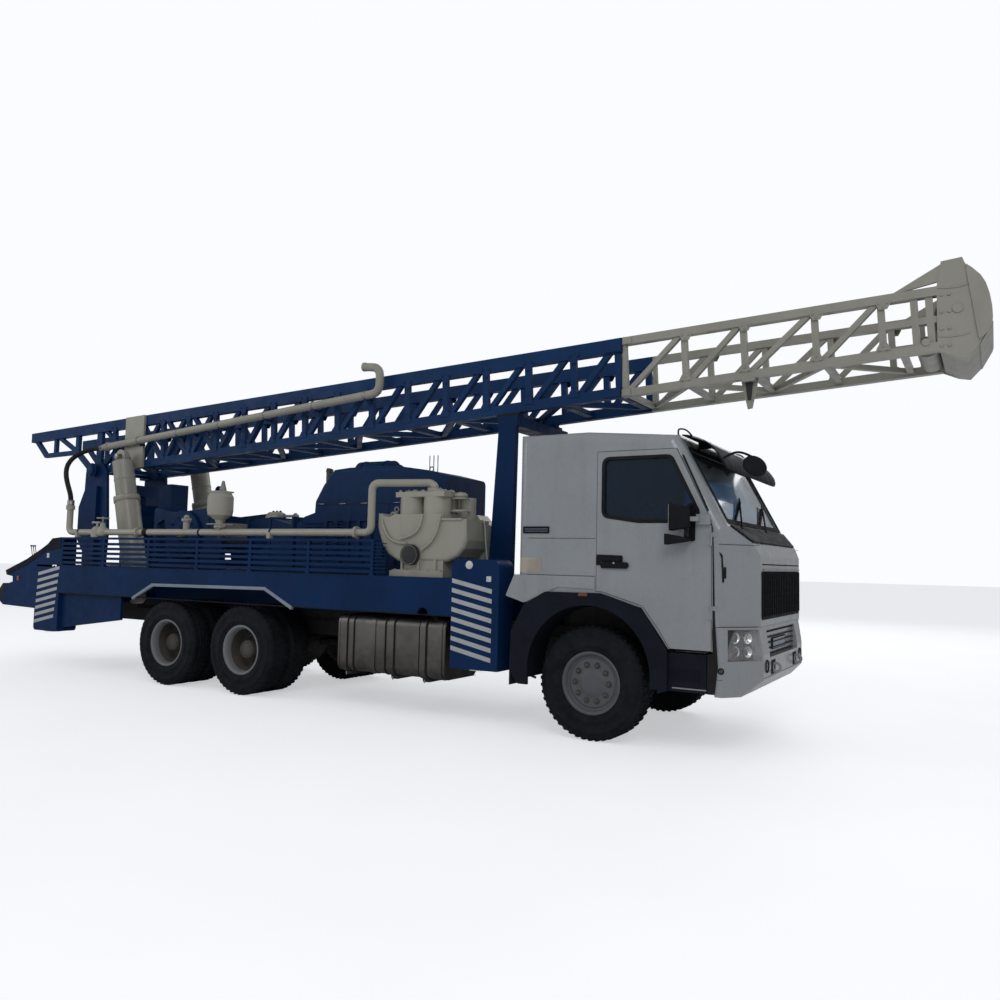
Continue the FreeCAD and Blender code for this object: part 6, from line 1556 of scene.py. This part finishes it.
def runningGear():
    gear = Maker("castIron")
    hub = tyreR
    springZ = hub - 0.08
    springPack(gear, 0.0, springY, springZ - 0.002, 0.076, 4)
    for x in (-0.075, 0.075):
        for y in (springY - 0.05, springY + 0.05):
            gear.use("bareSteel").rod((x, y, springZ - 0.075), (x, y, springZ + 0.095), 0.01, 12)
            gear.ring(hexNut(0.017, 0.016), 1, 0.0, (x, y, springZ - 0.06), (0, 0, -1), "bareSteel")
        gear.use("bareSteel").rod((x, springY - 0.05, springZ + 0.09), (x, springY + 0.05, springZ + 0.09),
                                  0.01, 12)
    gear.use("castIron").slab(-0.105, 0.105, springY - 0.065, springY + 0.065, springZ + 0.06,
                              springZ + 0.078)
    gear.use("sealRubber").lathe([(0, 0.07), (0.024, 0.065), (0.04, 0.04), (0.046, 0.0), (0, 0)],
                                 (0.0, springY, springZ + 0.078), alongZ, 20)
    for x in (-0.78, 0.78):
        gear.use("bareSteel").rod((x, springY - 0.052, springZ + 0.098), (x, springY + 0.052,
                                                                          springZ + 0.098),
                                  0.018, 16)
    low, high = Vector((-0.2, springY + 0.015, springZ + 0.02)), Vector((-0.36, railY + 0.035, 0.9))
    gear.use("blackPlastic").rod(low.lerp(high, 0.45), high, 0.036, 24, 0.004)
    gear.use("chromeRod").rod(low, low.lerp(high, 0.5), 0.014, 16)
    gear.use("castIron").slab(-0.225, -0.06, springY - 0.01, springY + 0.04, springZ - 0.01, springZ + 0.025)
    for x in (midAxleX, rearAxleX):
        way = 1 if x == midAxleX else -1
        gear.use("castIron").lathe([(0, 0.115), (0.055, 0.112), (0.074, 0.1), (0.08, 0.07), (0.08, 0.05),
                                    (0.086, 0.048), (0.086, 0.04), (0.078, 0.036), (0.07, 0.0), (0, 0)],
                                   (x - way * 0.24, 0.33, hub + 0.13), (way * 0.96, 0, 0.2), 32)
        gear.slab(x - 0.2, x + 0.2, 0.318, 0.342, hub + 0.065, hub + 0.1)
        gear.ring(hexNut(0.012, 0.01), 12, 0.165, (x, 0.196, hub), alongY, "castIron")
        gear.use("hoseRubber").tube([(x - way * 0.23, 0.33, hub + 0.21), (x - way * 0.2, 0.31, hub + 0.27),
                                     (x, 0.26, hub + 0.3), (x, 0.3, 0.86)], 0.009, 8)
        gear.use("castIron").rod((x, 0.15, hub + 0.205), (x + way * 0.42, 0.06, hub + 0.265), 0.022, 16)
    bogie = (midAxleX + rearAxleX) / 2
    for x in (-0.1, 0.1):
        for y in (0.437, 0.547):
            gear.use("bareSteel").rod((bogie + x, y, hub - 0.05), (bogie + x, y, hub + 0.165), 0.012, 12)
        gear.rod((bogie + x, 0.437, hub + 0.16), (bogie + x, 0.547, hub + 0.16), 0.012, 12)
    gear.use("castIron")
    for i in range(6):
        reach, z = 0.64 - i * 0.082, hub + 0.077 + i * 0.012
        gear.slab(bogie - reach, bogie + reach, 0.45, 0.534, z, z + 0.01)
    gear.lathe([(0, 0.03), (0.062, 0.03), (0.078, 0.018), (0.082, 0.0), (0, 0)], (bogie, 0.532, hub - 0.02),
               alongY, 28)
    stud = Maker("chassisPaint").lathe([(0, 0.006), (0.008, 0.005), (0.011, 0.0), (0, 0)], (0, railY, 0),
                                       alongY, 8).item()
    for z in (0.765, 0.975):
        gear.row(stud, 57, (-7.95, 0, z), (0.16, 0, 0), "chassisPaint")
    gear.use("hoseRubber")
    for z, r in ((0.9, 0.01), (0.93, 0.007)):
        y = railY + r + 0.002
        gear.tube([(1.1, y, z), (0.5, y, z - 0.01), (-3.0, y, z), (-7.6, y, z)], r, 8)
    gear.mirror()
    joints = (((-0.955, 0, 0.65), (-1, 0, 0.03)), ((midAxleX + 0.19, 0, hub + 0.042), (1, 0, 0.0)),
              ((midAxleX - 0.185, 0, hub + 0.06), (-1, 0, 0)), ((rearAxleX + 0.19, 0, hub + 0.06), alongX))
    for centre, way in joints:
        flange(gear, centre, way, 0.078, 0.03, 8, "castIron", 0.008)
        gear.use("castIron").ball(Vector(centre) + Vector(way) * 0.045, 0.056, detail=16)
    for x in (-2.6, -4.9):
        gear.use("bareSteel").slab(x - 0.03, x + 0.03, -0.347, 0.347, 0.742, 0.748)
    gear.use("castIron")
    gear.slab(-0.9, 0.45, -0.3, 0.3, 0.488, 0.502)
    gear.ring(hexNut(0.011, 0.008), 18, 0.26, (-0.225, 0, 0.488), (0, 0, -1), "castIron")
    gear.use("oldSteel").lathe([(0, 0.022), (0.018, 0.022), (0.022, 0.0)], (0.3, 0.1, 0.488), (0, 0, -1), 6,
                               False)
    addPiece("runningGear", gear)


def jackDetails():
    jack = Maker("navyPaint")
    for x0, x1, z0, z1 in ((-1.54, -0.97, 0.58, 1.7), (-8.82, -8.26, 0.55, 1.47)):
        mid = (x0 + x1) / 2
        jack.use("navyPaint").slab(x0 + 0.05, x1 - 0.05, 0.942, 0.9502, z0 + 0.12, z1 - 0.16)
        jack.use("bareSteel").rod((mid + 0.16, 0.93, z1 - 0.2), (mid + 0.16, 0.9502, z1 - 0.2), 0.018, 14)
        jack.use("hoseRubber").tube([(mid + 0.16, 0.935, z1 - 0.2), (mid + 0.16, 0.895, z1 - 0.19),
                                     (mid + 0.15, 0.86, z1 - 0.26), (mid + 0.15, 0.86, z1 - 0.42)], 0.009, 8)
        for x in (x0 + 0.06, x1 - 0.06):
            jack.row(hexNut(0.012, 0.01), 2, (x, 1.02, z1 + 0.0005), (0, 0.16, 0), "navyPaint")
    jack.mirror()
    addPiece("jackDetails", jack)


tankDetails()
batteryAndAir()
runningGear()
jackDetails()
print("running gear", pieceCount)

print("pieces", pieceCount)
